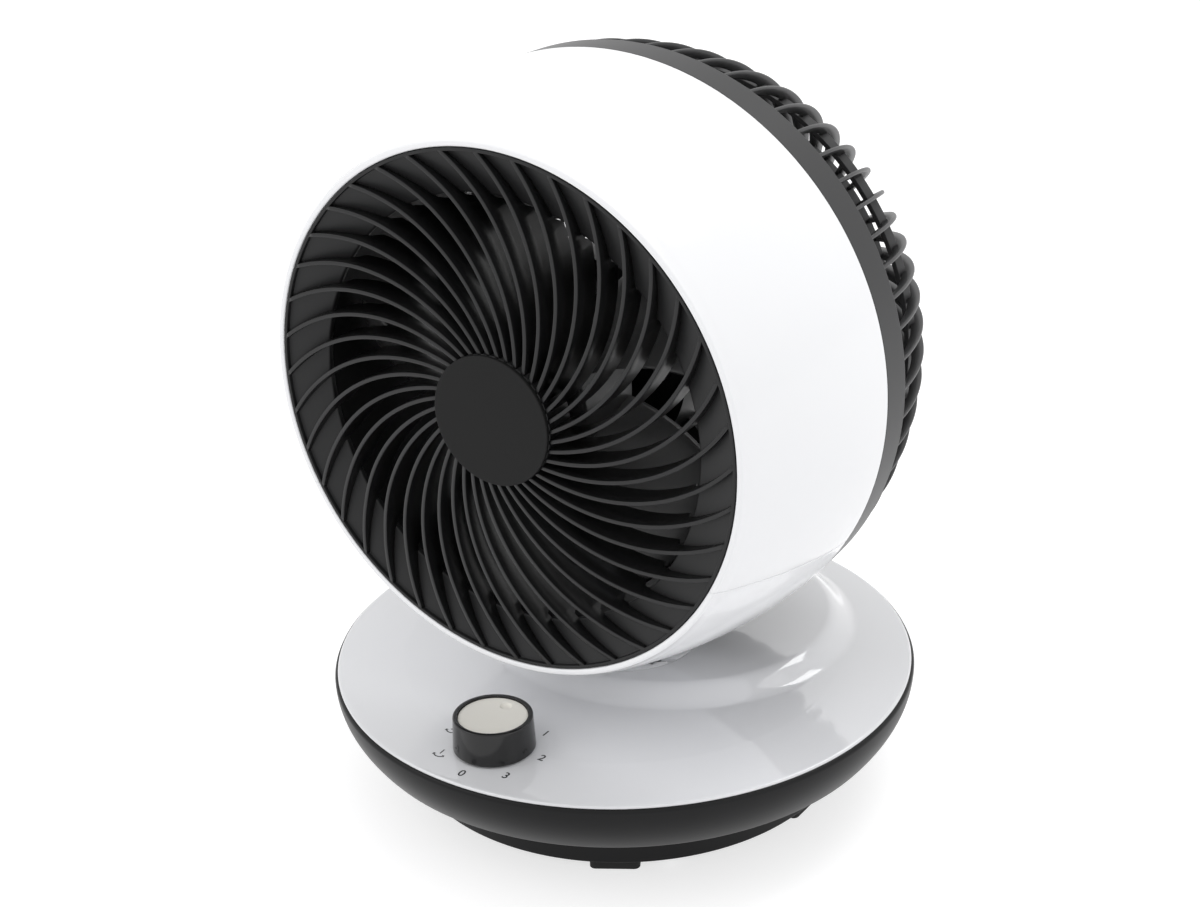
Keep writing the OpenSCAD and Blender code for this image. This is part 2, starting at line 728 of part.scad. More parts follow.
module hinge_ear(side) {
    x = side > 0 ? ear_x : -ear_x - hinge_ear_t;
    translate([x, -hinge_y, hinge_z]) rotate([0, 90, 0]) cylinder(r = hinge_eye_r - 0.3, h = hinge_ear_t);
    translate([x, -hinge_y - hinge_eye_r + 0.3, turn_low_z + 4])
        cube([hinge_ear_t, 2 * hinge_eye_r - 0.6, hinge_z - turn_low_z - 4]);
}

module swivel_gear() {
    color([0.9, 0.89, 0.82]) {
        translate([0, 0, gear_z]) difference() {
            union() {
                rotate(90) linear_extrude(gear_t) gear_outline(gear_teeth, 0.25);
                cylinder(r = lead_way_r - seat_gap, h = gear_t + 3);
            }
            translate([0, 0, -1]) cylinder(r = lead_way_r - 2.5, h = gear_t + 5);
            gear_screw_places() {
                translate([0, 0, -1]) cylinder(r = 1.4, h = gear_t + 2);
                translate([0, 0, -1]) cylinder(r = 2.7, h = 2.6);
            }
        }
        rotate(-90) translate([stop_r, 0, gear_z + gear_t - eps])
            cylinder(r = stop_pin_r, h = 1.5);
    }
}

module gear_screws() {
    color([0.7, 0.7, 0.72]) translate([0, 0, gear_z]) gear_screw_places() {
        translate([0, 0, 0.2]) cylinder(r = 2.4, h = 1.4);
        translate([0, 0, 1.5]) cylinder(r = 1.2, h = gear_t + 5);
    }
}

// Three screws hold the swivel gear to the end of the post
module gear_screw_places() {
    round_array(3, (post_r + lead_way_r) / 2, 30) children();
}

module tilt_pin() {
    half = ear_x + hinge_ear_t;
    color([0.75, 0.75, 0.77]) translate([0, -hinge_y, hinge_z]) rotate([0, 90, 0]) {
        cylinder(r = hinge_pin_r, h = 2 * half, center = true);
        for (s = [-1, 1]) translate([0, 0, s * (half + 0.9)])
            cylinder(r = hinge_pin_r + 1.6, h = 1.8, center = true);
    }
}

module friction_washers() {
    color([0.85, 0.84, 0.78]) for (s = [-1, 1])
        translate([s * (hinge_eye_w / 2 + 0.1 + hinge_washer_t / 2), -hinge_y, hinge_z])
            rotate([0, 90, 0]) translate([0, 0, -hinge_washer_t / 2])
                ring(hinge_eye_r - 0.5, hinge_pin_r + run_gap, hinge_washer_t);
}

// Forward distances that the bracket's saddle covers
saddle_front_f = hinge_y + 12;
saddle_back_f = hinge_y - 12;
saddle_half = 28;
saddle_t = 3.5;

module tilt_bracket() {
    saddle = concat(
        [for (i = [0 : 4]) let (f = saddle_back_f + (saddle_front_f - saddle_back_f) * i / 4)
            [shell_at(f) - shell_wall - seat_gap, f]],
        [for (i = [4 : -1 : 0]) let (f = saddle_back_f + (saddle_front_f - saddle_back_f) * i / 4)
            [shell_at(f) - shell_wall - seat_gap - saddle_t, f]]);
    saddle_z = axis_z - shell_at(hinge_y) + shell_wall + saddle_t - 1;
    color([0.75, 0.76, 0.78]) difference() {
        union() {
            intersection() {
                head_spin(saddle);
                translate([-saddle_half, -shell_r, 0]) cube([2 * saddle_half, 2 * shell_r, axis_z]);
            }
            translate([-hinge_eye_w / 2, -hinge_y - hinge_eye_r, hinge_z])
                cube([hinge_eye_w, 2 * hinge_eye_r, saddle_z - hinge_z]);
            translate([0, -hinge_y, hinge_z]) rotate([0, 90, 0])
                cylinder(r = hinge_eye_r, h = hinge_eye_w, center = true);
        }
        translate([0, -hinge_y, hinge_z]) rotate([0, 90, 0])
            cylinder(r = hinge_pin_r + run_gap, h = 2 * hinge_eye_w, center = true);
        bracket_places() translate([0, 0, -saddle_t]) cylinder(r = screw_hole_r, h = 3 * saddle_t);
    }
}

// Four places beside the slot, square to the shell's wall
module bracket_places() {
    for (s = [-1, 1], y = [-7, 7])
        translate([0, y - hinge_y, axis_z]) rotate([0, s * -10.8, 0])
            translate([0, 0, -(shell_at(hinge_y - y) - shell_wall - seat_gap)]) children();
}

module bracket_screws() {
    color([0.7, 0.7, 0.72]) bracket_places()
        translate([0, 0, saddle_t + 0.4]) mirror([0, 0, 1]) screw(saddle_t + 1.8);
}

// Two screws into each half of the shell, driven from behind the bulkhead
module shell_screw_places() {
    for (a = [60, 120, 240, 300]) rotate(a) translate([shell_boss_ring, 0, 0]) children();
}

module shell_screws() {
    color([0.7, 0.7, 0.72]) head_frame() shell_screw_places()
        translate([0, 0, bulkhead_f - bulkhead_t]) screw(bulkhead_t + 7);
}

// The whole drum before it is parted
module drum() {
    outer = [for (i = [0 : shell_steps]) let (f = seam_f + (shell_l - lip_edge) * i / shell_steps)
        [shell_at(f), f]];
    inner = [for (i = [shell_steps : -1 : 0]) let (f = seam_f + (shell_l - lip_d) * i / shell_steps)
        [shell_at(f) - shell_wall, f]];
    edge_r = shell_at(front_f);
    difference() {
        union() {
            head_spin(concat(outer,
                [[edge_r - 0.35, front_f - 0.35], [edge_r - lip_edge, front_f],
                    [lip_r + 0.4, front_f], [lip_r, front_f - 0.4], [lip_r, front_f - lip_d]],
                inner));
            head_frame() shell_screw_places() translate([0, 0, bulkhead_f + seat_gap])
                cylinder(r = boss_r, h = 9);
        }
        head_frame() shell_screw_places() translate([0, 0, bulkhead_f])
            cylinder(r = screw_r + run_gap, h = 7.5);
        translate([-hinge_eye_w / 2 - slip_gap, -hinge_y - hinge_eye_r - slip_gap, rim_h])
            cube([hinge_eye_w + 2 * slip_gap, 2 * (hinge_eye_r + slip_gap), 40]);
    }
}

// Everything above the sloping parting plane, less half the groove
module above_parting() {
    reach = 2 * shell_r;
    translate([0, 0, axis_z - parting_drop]) rotate([-parting_slope, 0, 0])
        translate([-reach, -reach, parting_gap / 2]) cube([2 * reach, 2 * reach, reach]);
}

module below_parting() {
    reach = 2 * shell_r;
    translate([0, 0, axis_z - parting_drop]) rotate([-parting_slope, 0, 0])
        translate([-reach, -reach, -reach - parting_gap / 2]) cube([2 * reach, 2 * reach, reach]);
}

module shell_upper() {
    color([0.93, 0.94, 0.95]) intersection() {
        drum();
        above_parting();
    }
}

module shell_lower() {
    color([0.93, 0.94, 0.95]) difference() {
        intersection() {
            drum();
            below_parting();
        }
        bracket_places() translate([0, 0, -1.6]) cylinder(r = screw_r + run_gap, h = 4);
    }
}

// Height of the funnel's face, which slopes from the ring's step to the throat
function funnel_at(r) = throat_front_f + funnel_d * (r - throat_r) / (ring_in_r - throat_r);

// Plan of one swirl rib: an arc that leaves the hub and sweeps to the ring
module swirl_arc() {
    intersection() {
        translate([front_arc_off, 0]) difference() {
            circle(r = front_arc_r + front_rib_t / 2);
            circle(r = front_arc_r - front_rib_t / 2);
        }
        translate([-grille_r, -2 * grille_r]) square([3 * grille_r, 2 * grille_r]);
    }
}

module front_grille() {
    bite = 0.7;
    skirt_in_r = grille_r - 2.2;
    rib_side = [[hub_r - bite, front_f + front_bulge], [rib_flat_r, front_f],
        [ring_in_r + bite, front_f], [ring_in_r + bite, funnel_f - 0.8],
        [throat_r + 1, throat_front_f - 0.8], [throat_r - 3, rib_back_f], [hub_r - bite, rib_back_f]];
    color([0.12, 0.12, 0.125]) difference() {
        union() {
            head_frame() intersection() {
                translate([0, 0, rib_back_f - 1]) linear_extrude(front_rib_d + front_bulge + 2)
                    for (i = [0 : front_ribs - 1])
                        rotate(front_phase + i * 360 / front_ribs) swirl_arc();
                rotate_extrude() polygon(rib_side);
            }
            head_spin([[grille_r, ring_back_f - funnel_t], [grille_r, front_f - 0.4],
                [grille_r - 0.4, front_f], [ring_in_r + 0.3, front_f], [ring_in_r, front_f - 0.3],
                [ring_in_r, funnel_f], [throat_r + 2, funnel_at(throat_r + 2)],
                [throat_r + 0.5, throat_front_f - 0.2], [throat_r, throat_front_f - 0.9],
                [throat_r, throat_front_f - funnel_t], [throat_r + 2, throat_front_f - funnel_t],
                [skirt_in_r, funnel_at(skirt_in_r) - funnel_t], [skirt_in_r, ring_back_f - funnel_t]]);
            head_spin([[0, front_f - 3], [hub_r - 3, front_f - 3], [hub_r - 3, rib_back_f],
                [hub_r, rib_back_f], [hub_r, front_f + front_bulge - 0.4],
                [hub_r - 0.4, front_f + front_bulge], [0, front_f + front_bulge]]);
            head_frame() {
                translate([0, -front_screw_drop, throat_front_f - funnel_t])
                    cylinder(r = boss_r, h = funnel_t + 1.5);
                hook_places() {
                    arc_block(hook_r - 0.8, hook_r + 0.8, -4, 4, hook_f, funnel_at(hook_r) - 1);
                    arc_block(hook_r - 0.8, hook_r + 0.8, -4, 10, hook_f, hook_f + hook_t);
                }
            }
        }
        head_frame() translate([0, -front_screw_drop, front_seat_f]) {
            cylinder(r = small_head_r + 0.4, h = 20);
            translate([0, 0, -5]) cylinder(r = screw_hole_r, h = 10);
        }
    }
}

// Three hooks turn in behind the duct's flange, and the screw locks them
module hook_places() {
    for (a = [0, 90, 180]) rotate(a) children();
}

module arc_block(inner, outer, from_a, to_a, low, high) {
    rotate(from_a) rotate_extrude(angle = to_a - from_a)
        translate([inner, low]) square([outer - inner, high - low]);
}

module front_screw() {
    color([0.12, 0.12, 0.125]) head_frame()
        translate([0, -front_screw_drop, front_seat_f]) difference() {
            union() {
                cylinder(r = small_head_r, h = small_head_h);
                translate([0, 0, -9]) cylinder(r = screw_r, h = 9 + eps);
            }
            for (a = [0, 90]) rotate(a) translate([-1.6, -0.3, small_head_h - 0.8])
                cube([3.2, 0.6, 1]);
        }
}

module grille_cap() {
    low = front_f + front_bulge + 0.05;
    color([0.17, 0.17, 0.17]) head_spin([[0, low], [hub_r - 0.5, low], [hub_r, low + 0.4],
        [hub_r, low + hub_cap_t - 0.4], [hub_r - 0.4, low + hub_cap_t], [0, low + hub_cap_t]]);
}

module air_duct() {
    back_f = bulkhead_f - bulkhead_t;
    color([0.16, 0.16, 0.165]) difference() {
        union() {
            head_spin([[throat_r, duct_front_f], [throat_r, throat_back_f],
                [throat_r + 0.14 * (bell_r - throat_r), throat_back_f - 0.45 * (throat_back_f - back_f)],
                [throat_r + 0.5 * (bell_r - throat_r), throat_back_f - 0.8 * (throat_back_f - back_f)],
                [bell_r, back_f], [bulkhead_r, back_f], [bulkhead_r, bulkhead_f],
                [bell_r + 1, bulkhead_f],
                [throat_r + 0.5 * (bell_r - throat_r) + duct_wall,
                    throat_back_f - 0.72 * (throat_back_f - back_f)],
                [throat_r + duct_wall, throat_back_f],
                [throat_r + duct_wall, duct_front_f - duct_flange_t],
                [duct_flange_r, duct_front_f - duct_flange_t], [duct_flange_r, duct_front_f]]);
            head_frame() {
                round_array(4, duct_boss_ring, 45) translate([0, 0, bulkhead_f - eps])
                    cylinder(r = boss_r, h = 8);
                lug_places() translate([0, 0, bulkhead_f - eps]) cylinder(r = boss_r, h = 8);
                translate([0, -front_screw_drop, duct_front_f - 9]) cylinder(r = boss_r, h = 8);
            }
        }
        head_frame() {
            round_array(4, duct_boss_ring, 45) translate([0, 0, back_f - 1])
                cylinder(r = screw_r + run_gap, h = 8);
            lug_places() translate([0, 0, back_f - 1]) cylinder(r = screw_r + run_gap, h = 8);
            translate([0, -front_screw_drop, duct_front_f - 8])
                cylinder(r = screw_r + run_gap, h = 10);
            hook_places() arc_block(hook_r - 1.2, hook_r + 1.2, -5, 22,
                duct_front_f - duct_flange_t - 1, duct_front_f + 1);
            shell_screw_places() translate([0, 0, back_f - 1]) cylinder(r = screw_hole_r, h = 4);
        }
    }
}

// One rear rib: a thin plate between two arcs, from the band to the rear disc
module rear_rib() {
    reach = dome_r + 10;
    rotate([90, 0, 0]) translate([0, 0, -rear_rib_t / 2]) linear_extrude(rear_rib_t)
        intersection() {
            difference() {
                translate([0, dome_f]) circle(r = dome_r, $fn = 180);
                translate([0, rib_in_f]) circle(r = rib_in_r, $fn = 180);
            }
            translate([rear_cap_r - 1.5, band_f + rib_root - reach]) square([reach, reach]);
        }
}

module rear_grille() {
    band_end_r = sqrt(dome_r * dome_r - pow(band_f - dome_f, 2));
    color([0.2, 0.2, 0.205]) difference() {
        union() {
            head_frame() for (i = [0 : rear_ribs - 1]) rotate(i * 360 / rear_ribs) rear_rib();
            head_spin([[shell_r, seam_f - seat_gap], [band_end_r + 0.3, band_f],
                [band_end_r - band_wall + 0.3, band_f], [shell_r - band_wall, seam_f - seat_gap]]);
            for (f = hoop_fs) {
                outer = rib_inner_at(f) + hoop_bite;
                head_spin([[outer, f - hoop_l / 2], [outer, f + hoop_l / 2],
                    [outer - hoop_t, f + hoop_l / 2], [outer - hoop_t, f - hoop_l / 2]]);
            }
            head_spin([[0, rear_cap_f - 0.6], [rear_cap_r - 5, rear_cap_f - 0.6],
                [rear_cap_r - 0.6, rear_cap_f + 0.2], [rear_cap_r, rear_cap_f + 1.2],
                [rear_cap_r, rear_cap_f + rear_cap_t + 4],
                [rear_cap_r - 2, rear_cap_f + rear_cap_t + 4],
                [rear_cap_r - 2, rear_cap_f + rear_cap_t - 1.6], [0, rear_cap_f + rear_cap_t - 1.6]]);
            head_frame() lug_places() translate([0, 0, lug_f]) cylinder(r = lug_r, h = lug_t);
        }
        head_frame() lug_places() translate([0, 0, lug_f - 1])
            cylinder(r = screw_hole_r, h = lug_t + 2);
    }
}

// Four lugs inside the band, clear of the shell's bosses
module lug_places() {
    for (a = [30, 150, 210, 330]) rotate(a) translate([lug_ring, 0, 0]) children();
}

module rear_screws() {
    color([0.7, 0.7, 0.72]) head_frame() lug_places()
        translate([0, 0, lug_f]) screw(lug_t + 6);
}

module motor_mount() {
    color([0.16, 0.16, 0.165]) head_frame() difference() {
        union() {
            translate([0, 0, arm_front_f - arm_d])
                ring(motor_r + seat_gap + mount_wall, motor_r + seat_gap,
                    mount_plate_f + mount_plate_t - arm_front_f + arm_d);
            translate([0, 0, mount_plate_f])
                ring(motor_r + seat_gap + 1, bearing_r + 5, mount_plate_t);
            for (a = [45 : 90 : 315]) rotate(a) {
                translate([motor_r + 1.5, -arm_w / 2, arm_front_f - arm_d])
                    cube([duct_boss_ring - motor_r - 1.5, arm_w, arm_d]);
                translate([duct_boss_ring, 0, arm_front_f - arm_d])
                    cylinder(r = arm_w / 2 + 0.6, h = arm_d);
            }
        }
        round_array(4, duct_boss_ring, 45) translate([0, 0, arm_front_f - arm_d - 1])
            cylinder(r = screw_hole_r, h = arm_d + 2);
        round_array(4, motor_bolt_ring, 0) translate([0, 0, mount_plate_f - 1])
            cylinder(r = screw_hole_r, h = mount_plate_t + 2);
    }
}

module mount_screws() {
    color([0.7, 0.7, 0.72]) head_frame() round_array(4, duct_boss_ring, 45)
        translate([0, 0, arm_front_f - arm_d]) screw(arm_d + 6);
}

module motor_bolts() {
    color([0.7, 0.7, 0.72]) head_frame() round_array(4, motor_bolt_ring, 0)
        translate([0, 0, mount_plate_f + mount_plate_t]) mirror([0, 0, 1]) screw(mount_plate_t + 5);
}

module motor_front_shell() {
    seat = bearing_r + seat_gap / 3;
    color([0.74, 0.75, 0.77]) difference() {
        head_spin([[shaft_r + 1.5, motor_front_f + 3], [bearing_r + 3.5, motor_front_f + 3],
            [bearing_r + 4, motor_front_f], [motor_r - 3, motor_front_f],
            [motor_r, motor_front_f - 3], [motor_r, stack_front_f], [motor_r - motor_wall, stack_front_f],
            [motor_r - motor_wall, motor_front_f - 5], [motor_r - 6, motor_front_f - motor_wall],
            [bearing_r + 3, motor_front_f - motor_wall], [seat, motor_front_f - motor_wall],
            [seat, motor_front_f + 2], [shaft_r + 1.5, motor_front_f + 2]]);
        head_frame() round_array(4, motor_bolt_ring, 0) translate([0, 0, motor_front_f - 7])
            cylinder(r = screw_r + run_gap, h = 10);
    }
}

module motor_rear_shell() {
    seat = bearing_r + seat_gap / 3;
    color([0.74, 0.75, 0.77]) head_spin([[0, motor_back_f - 3], [bearing_r + 3.5, motor_back_f - 3],
        [bearing_r + 4, motor_back_f], [motor_r - 3, motor_back_f], [motor_r, motor_back_f + 3],
        [motor_r, stack_back_f], [motor_r - motor_wall, stack_back_f],
        [motor_r - motor_wall, motor_back_f + 5], [motor_r - 6, motor_back_f + motor_wall],
        [bearing_r + 3, motor_back_f + motor_wall + 1], [seat, motor_back_f + motor_wall + 1],
        [seat, motor_back_f - 1], [0, motor_back_f - 1]]);
}

module stator_core() {
    color([0.45, 0.46, 0.48]) head_frame() translate([0, 0, stack_back_f + seat_gap / 3])
        ring(motor_r - 0.6, stack_bore_r, stack_l - 2 * seat_gap / 3);
}

module stator_windings() {
    color([0.72, 0.4, 0.2]) for (f = [stack_front_f + 0.3, stack_back_f - 7.8])
        head_frame() translate([0, 0, f]) ring(motor_r - 5, stack_bore_r + 1.5, 7.5);
}

module front_bearing() {
    color([0.8, 0.8, 0.82]) head_frame() translate([0, 0, motor_front_f + 2 - 0.1 - bearing_w])
        ring(bearing_r, shaft_r + run_gap, bearing_w);
}

module rear_bearing() {
    color([0.8, 0.8, 0.82]) head_frame() translate([0, 0, motor_back_f - 1 + 0.1])
        ring(bearing_r, shaft_r + run_gap, bearing_w);
}

module motor_shaft() {
    color([0.78, 0.78, 0.8]) head_frame() translate([0, 0, motor_back_f - 0.4])
        cylinder(r = shaft_r, h = rotor_front_f + 4 - motor_back_f);
}

module rotor() {
    color([0.5, 0.5, 0.52]) head_frame() translate([0, 0, stack_back_f - 1])
        ring(stack_bore_r - 0.4, shaft_r + seat_gap / 5, stack_l + 2);
}

// A blade's radius at step u from root to tip
function blade_radius(u) = blade_root_r + (tip_r - blade_root_r) * u;

// Half the blade's axial height at step u, rounded off at the tip's corners
function blade_height(u) = blade_root_h + (blade_tip_h - blade_root_h) * u;

// A point of the blade's middle surface: u runs from root to tip, v from front to back edge
function blade_point(u, v, lift) =
    let (a = blade_phase + blade_span * v * (1 - 0.1 * u) - blade_sweep * pow(u, 1.4),
        camber = 2.4 * sin(180 * v),
        f = rotor_front_f - blade_t - 0.6 - blade_height(u) * v + camber + lift, r = blade_radius(u))
    [r * cos(a), r * sin(a), f];

function grid_faces(rows, cols, start, flip) =
    [for (i = [0 : rows - 2], j = [0 : cols - 2]) let (a = start + i * cols + j)
        for (t = flip ? [[a, a + cols, a + 1], [a + 1, a + cols, a + cols + 1]]
            : [[a, a + 1, a + cols], [a + 1, a + cols + 1, a + cols]]) t];

// Joins two equal grids of points round their border
function rim_faces(loop, shift) =
    [for (k = [0 : len(loop) - 1]) let (a = loop[k], b = loop[(k + 1) % len(loop)])
        for (t = [[a, b, b + shift], [a, b + shift, a + shift]]) t];

module blade() {
    rows = blade_rows;
    cols = blade_cols;
    count = rows * cols;
    points = [for (lift = [0, blade_t]) for (i = [0 : rows - 1], j = [0 : cols - 1])
        blade_point(i / (rows - 1), j / (cols - 1), lift)];
    border = concat([for (j = [0 : cols - 1]) j], [for (i = [1 : rows - 1]) i * cols + cols - 1],
        [for (j = [cols - 2 : -1 : 0]) (rows - 1) * cols + j], [for (i = [rows - 2 : -1 : 1]) i * cols]);
    polyhedron(points, concat(grid_faces(rows, cols, 0, true), grid_faces(rows, cols, count, false),
        rim_faces(border, count)), convexity = 6);
}

module impeller() {
    color([0.2, 0.2, 0.21]) {
        head_frame() for (i = [0 : blades - 1]) rotate(i * 360 / blades) blade();
        head_spin([[shaft_r + run_gap, rotor_back_f + 4], [shaft_r + 5, rotor_back_f + 4],
            [shaft_r + 5, rotor_front_f - 3], [rotor_hub_r - 4, rotor_front_f - 3],
            [rotor_hub_r - 2.2, rotor_front_f - 5], [rotor_hub_r - 2.2, rotor_back_f],
            [rotor_hub_r, rotor_back_f], [rotor_hub_r, rotor_front_f - 1.5],
            [rotor_hub_r - 1.5, rotor_front_f], [shaft_r + run_gap, rotor_front_f]]);
    }
}

module impeller_nut() {
    low = rotor_front_f + 0.1;
    color([0.15, 0.15, 0.16]) head_spin([[shaft_r + run_gap, low], [9, low], [9, low + 2.5],
        [7, low + 5.5], [0, low + 4 + nose_l], [0, low + 4], [shaft_r + run_gap, low + 4]]);
}

base_bowl();
base_cover();
bottom_plate();
feet();
ballast_ring();
cord_gland();
cover_screws();
plate_screws();
chassis();
chassis_screws();
swivel_bush();
capacitor();
rotary_switch();
switch_nut();
swing_motor();
swing_motor_screws();
switch_shaft();
knob();
knob_cap();
pinion();
turntable();
swivel_gear();
gear_screws();
tilt_pin();
friction_washers();
tilt_bracket();
bracket_screws();
shell_upper();
shell_lower();
shell_screws();
front_grille();
grille_cap();
front_screw();
air_duct();
rear_grille();
rear_screws();
motor_mount();
mount_screws();
motor_bolts();
motor_front_shell();
motor_rear_shell();
stator_core();
stator_windings();
front_bearing();
rear_bearing();
motor_shaft();
rotor();
impeller();
impeller_nut();
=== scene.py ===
import bpy
import bmesh
import json
import math
import numpy as np
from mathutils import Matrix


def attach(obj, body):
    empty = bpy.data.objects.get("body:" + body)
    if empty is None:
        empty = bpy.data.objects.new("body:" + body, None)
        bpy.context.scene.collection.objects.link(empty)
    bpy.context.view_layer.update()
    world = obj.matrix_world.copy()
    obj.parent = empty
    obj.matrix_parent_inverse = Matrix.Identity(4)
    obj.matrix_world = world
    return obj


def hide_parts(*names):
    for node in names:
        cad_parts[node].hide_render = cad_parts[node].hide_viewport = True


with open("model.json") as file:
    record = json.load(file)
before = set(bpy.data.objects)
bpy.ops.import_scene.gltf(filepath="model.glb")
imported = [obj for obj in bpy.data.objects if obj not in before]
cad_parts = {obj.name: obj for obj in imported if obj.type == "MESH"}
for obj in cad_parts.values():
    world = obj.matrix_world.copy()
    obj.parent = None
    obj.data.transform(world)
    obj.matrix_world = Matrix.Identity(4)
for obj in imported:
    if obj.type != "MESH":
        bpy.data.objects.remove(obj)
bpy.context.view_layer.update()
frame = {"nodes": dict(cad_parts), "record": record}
nodes = frame["nodes"]
print("frame loaded, %d nodes" % len(nodes))

headHeight = 186.1   # height of the head's axis, in millimetres like every size below
rimHeight = 49.0     # height of the base cover's rim


# Index quads of equal grids: cell (i, j) joins points i and i + 1 with j and j + 1
def gridQuads(count, nu, nv, wrapU, wrapV):
    i = np.arange(nu if wrapU else nu - 1)[:, None]
    j = np.arange(nv if wrapV else nv - 1)[None, :]
    right = (j + 1) % nv
    up = (i + 1) % nu
    one = np.stack([i * nv + j, i * nv + right, up * nv + right, up * nv + j], -1).reshape(-1, 4)
    return (one[None] + (np.arange(count) * nu * nv)[:, None, None]).reshape(-1, 4)


# Merges doubled points, drops what that leaves loose and turns all faces outward
def finishMesh(mesh, smooth=True):
    work = bmesh.new()
    work.from_mesh(mesh)
    bmesh.ops.remove_doubles(work, verts=work.verts, dist=3e-6)
    loose = [edge for edge in work.edges if not edge.link_faces]
    bmesh.ops.delete(work, geom=loose, context="EDGES")
    bmesh.ops.recalc_face_normals(work, faces=work.faces)
    work.to_mesh(mesh)
    work.free()
    mesh.polygons.foreach_set("use_smooth", np.full(len(mesh.polygons), smooth))


def linkPiece(name, mesh, body, finish, standsFor):
    mesh.materials.append(finish)
    piece = bpy.data.objects.new(name, mesh)
    bpy.context.scene.collection.objects.link(piece)
    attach(piece, body)
    if standsFor:
        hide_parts(*standsFor)
    return piece


# One piece from several stacks of grids, each (points[count, u, v, 3], wrapU, wrapV)
def addPiece(name, stacks, body, finish, standsFor=()):
    points = []
    quads = []
    start = 0
    for grid, wrapU, wrapV in stacks:
        count, nu, nv = grid.shape[:3]
        points.append(grid.reshape(-1, 3))
        quads.append(gridQuads(count, nu, nv, wrapU, wrapV) + start)
        start += count * nu * nv
    mesh = bpy.data.meshes.new(name)
    mesh.from_pydata((np.concatenate(points) * 0.001).tolist(), [], np.concatenate(quads).tolist())
    finishMesh(mesh)
    return linkPiece(name, mesh, body, finish, standsFor)


# Rounds a closed outline: each corner becomes a parabola that touches both its sides,
# with one support point beyond each end so that flat sides stay flat in the shading
def rounded(corners, radii, steps=5):
    p = np.array(corners, float)
    back = np.roll(p, 1, 0) - p
    ahead = np.roll(p, -1, 0) - p
    backLen = np.linalg.norm(back, axis=1)
    aheadLen = np.linalg.norm(ahead, axis=1)
    back /= backLen[:, None]
    ahead /= aheadLen[:, None]
    half = np.arccos(np.clip((back * ahead).sum(1), -0.9999, 0.9999)) / 2
    reach = np.minimum(np.maximum(radii, 0.02) / np.tan(half), 0.4 * np.minimum(backLen, aheadLen))
    extra = np.minimum(reach + 0.35, 0.47 * np.minimum(backLen, aheadLen))
    s = np.linspace(0, 1, steps)[None, :, None]
    a = (p + back * reach[:, None])[:, None]
    b = (p + ahead * reach[:, None])[:, None]
    bend = (1 - s) ** 2 * a + 2 * s * (1 - s) * p[:, None] + s ** 2 * b
    before = (p + back * extra[:, None])[:, None]
    after = (p + ahead * extra[:, None])[:, None]
    return np.concatenate([before, bend, after], 1).reshape(-1, 2)


# Turns an outline of (radius, height) about an upright line through centre
def spinUpright(outline, centre=(0, 0), steps=192):
    angle = np.linspace(0, 2 * np.pi, steps, endpoint=False)[None, :]
    r = outline[:, 0][:, None]
    x = centre[0] + r * np.cos(angle)
    y = centre[1] + r * np.sin(angle)
    return np.stack([x, y, outline[:, 1][:, None] + 0 * angle], -1)[None]


# Turns an outline of (radius, forward distance) about the head's axis
def spinHead(outline, steps=192):
    angle = np.linspace(0, 2 * np.pi, steps, endpoint=False)[None, :]
    r = outline[:, 0][:, None]
    return headPoint(r * np.cos(angle), r * np.sin(angle), outline[:, 1][:, None] + 0 * angle)[None]


# From the head's own axes (right, up, forward) to the frame's
def headPoint(x, up, forward):
    return np.stack([x, -forward, headHeight + up], -1)


# Moulded plastic: a slow noise mixes two colours and moves the roughness between two values,
# as flow marks do, and a fine noise bumps the surface as the mould's grain
def mouldedPlastic(name, look):
    material = bpy.data.materials.new(name)
    material.use_nodes = True
    tree = material.node_tree
    shader = tree.nodes["Principled BSDF"]
    coords = tree.nodes.new("ShaderNodeTexCoord")
    flow = tree.nodes.new("ShaderNodeTexNoise")
    flow.inputs["Scale"].default_value = look.get("flowScale", 14)
    flow.inputs["Detail"].default_value = 3
    grain = tree.nodes.new("ShaderNodeTexNoise")
    grain.inputs["Scale"].default_value = look.get("grainScale", 2600)
    grain.inputs["Detail"].default_value = 2
    tint = tree.nodes.new("ShaderNodeMix")
    tint.data_type = "RGBA"
    tint.inputs["A"].default_value = (*look["colour"], 1)
    tint.inputs["B"].default_value = (*look["colourTwo"], 1)
    rough = tree.nodes.new("ShaderNodeMapRange")
    rough.inputs["To Min"].default_value = look["rough"][0]
    rough.inputs["To Max"].default_value = look["rough"][1]
    bump = tree.nodes.new("ShaderNodeBump")
    bump.inputs["Strength"].default_value = look.get("grainStrength", 0.1)
    bump.inputs["Distance"].default_value = look.get("grainDepth", 0.00002)
    tree.links.new(coords.outputs["Object"], flow.inputs["Vector"])
    tree.links.new(coords.outputs["Object"], grain.inputs["Vector"])
    tree.links.new(flow.outputs["Fac"], tint.inputs["Factor"])
    tree.links.new(flow.outputs["Fac"], rough.inputs["Value"])
    tree.links.new(grain.outputs["Fac"], bump.inputs["Height"])
    tree.links.new(tint.outputs["Result"], shader.inputs["Base Color"])
    tree.links.new(rough.outputs["Result"], shader.inputs["Roughness"])
    tree.links.new(bump.outputs["Normal"], shader.inputs["Normal"])
    shader.inputs["IOR"].default_value = look.get("ior", 1.49)
    shader.inputs["Specular IOR Level"].default_value = look.get("specular", 0.5)
    shader.inputs["Coat Weight"].default_value = look.get("coat", 0)
    shader.inputs["Coat Roughness"].default_value = look.get("coatRough", 0.03)
    return material


# Drawn, turned or cast metal: the same flow and grain on a metallic surface
def workedMetal(name, look):
    material = mouldedPlastic(name, look)
    shader = material.node_tree.nodes["Principled BSDF"]
    shader.inputs["Metallic"].default_value = 1
    return material


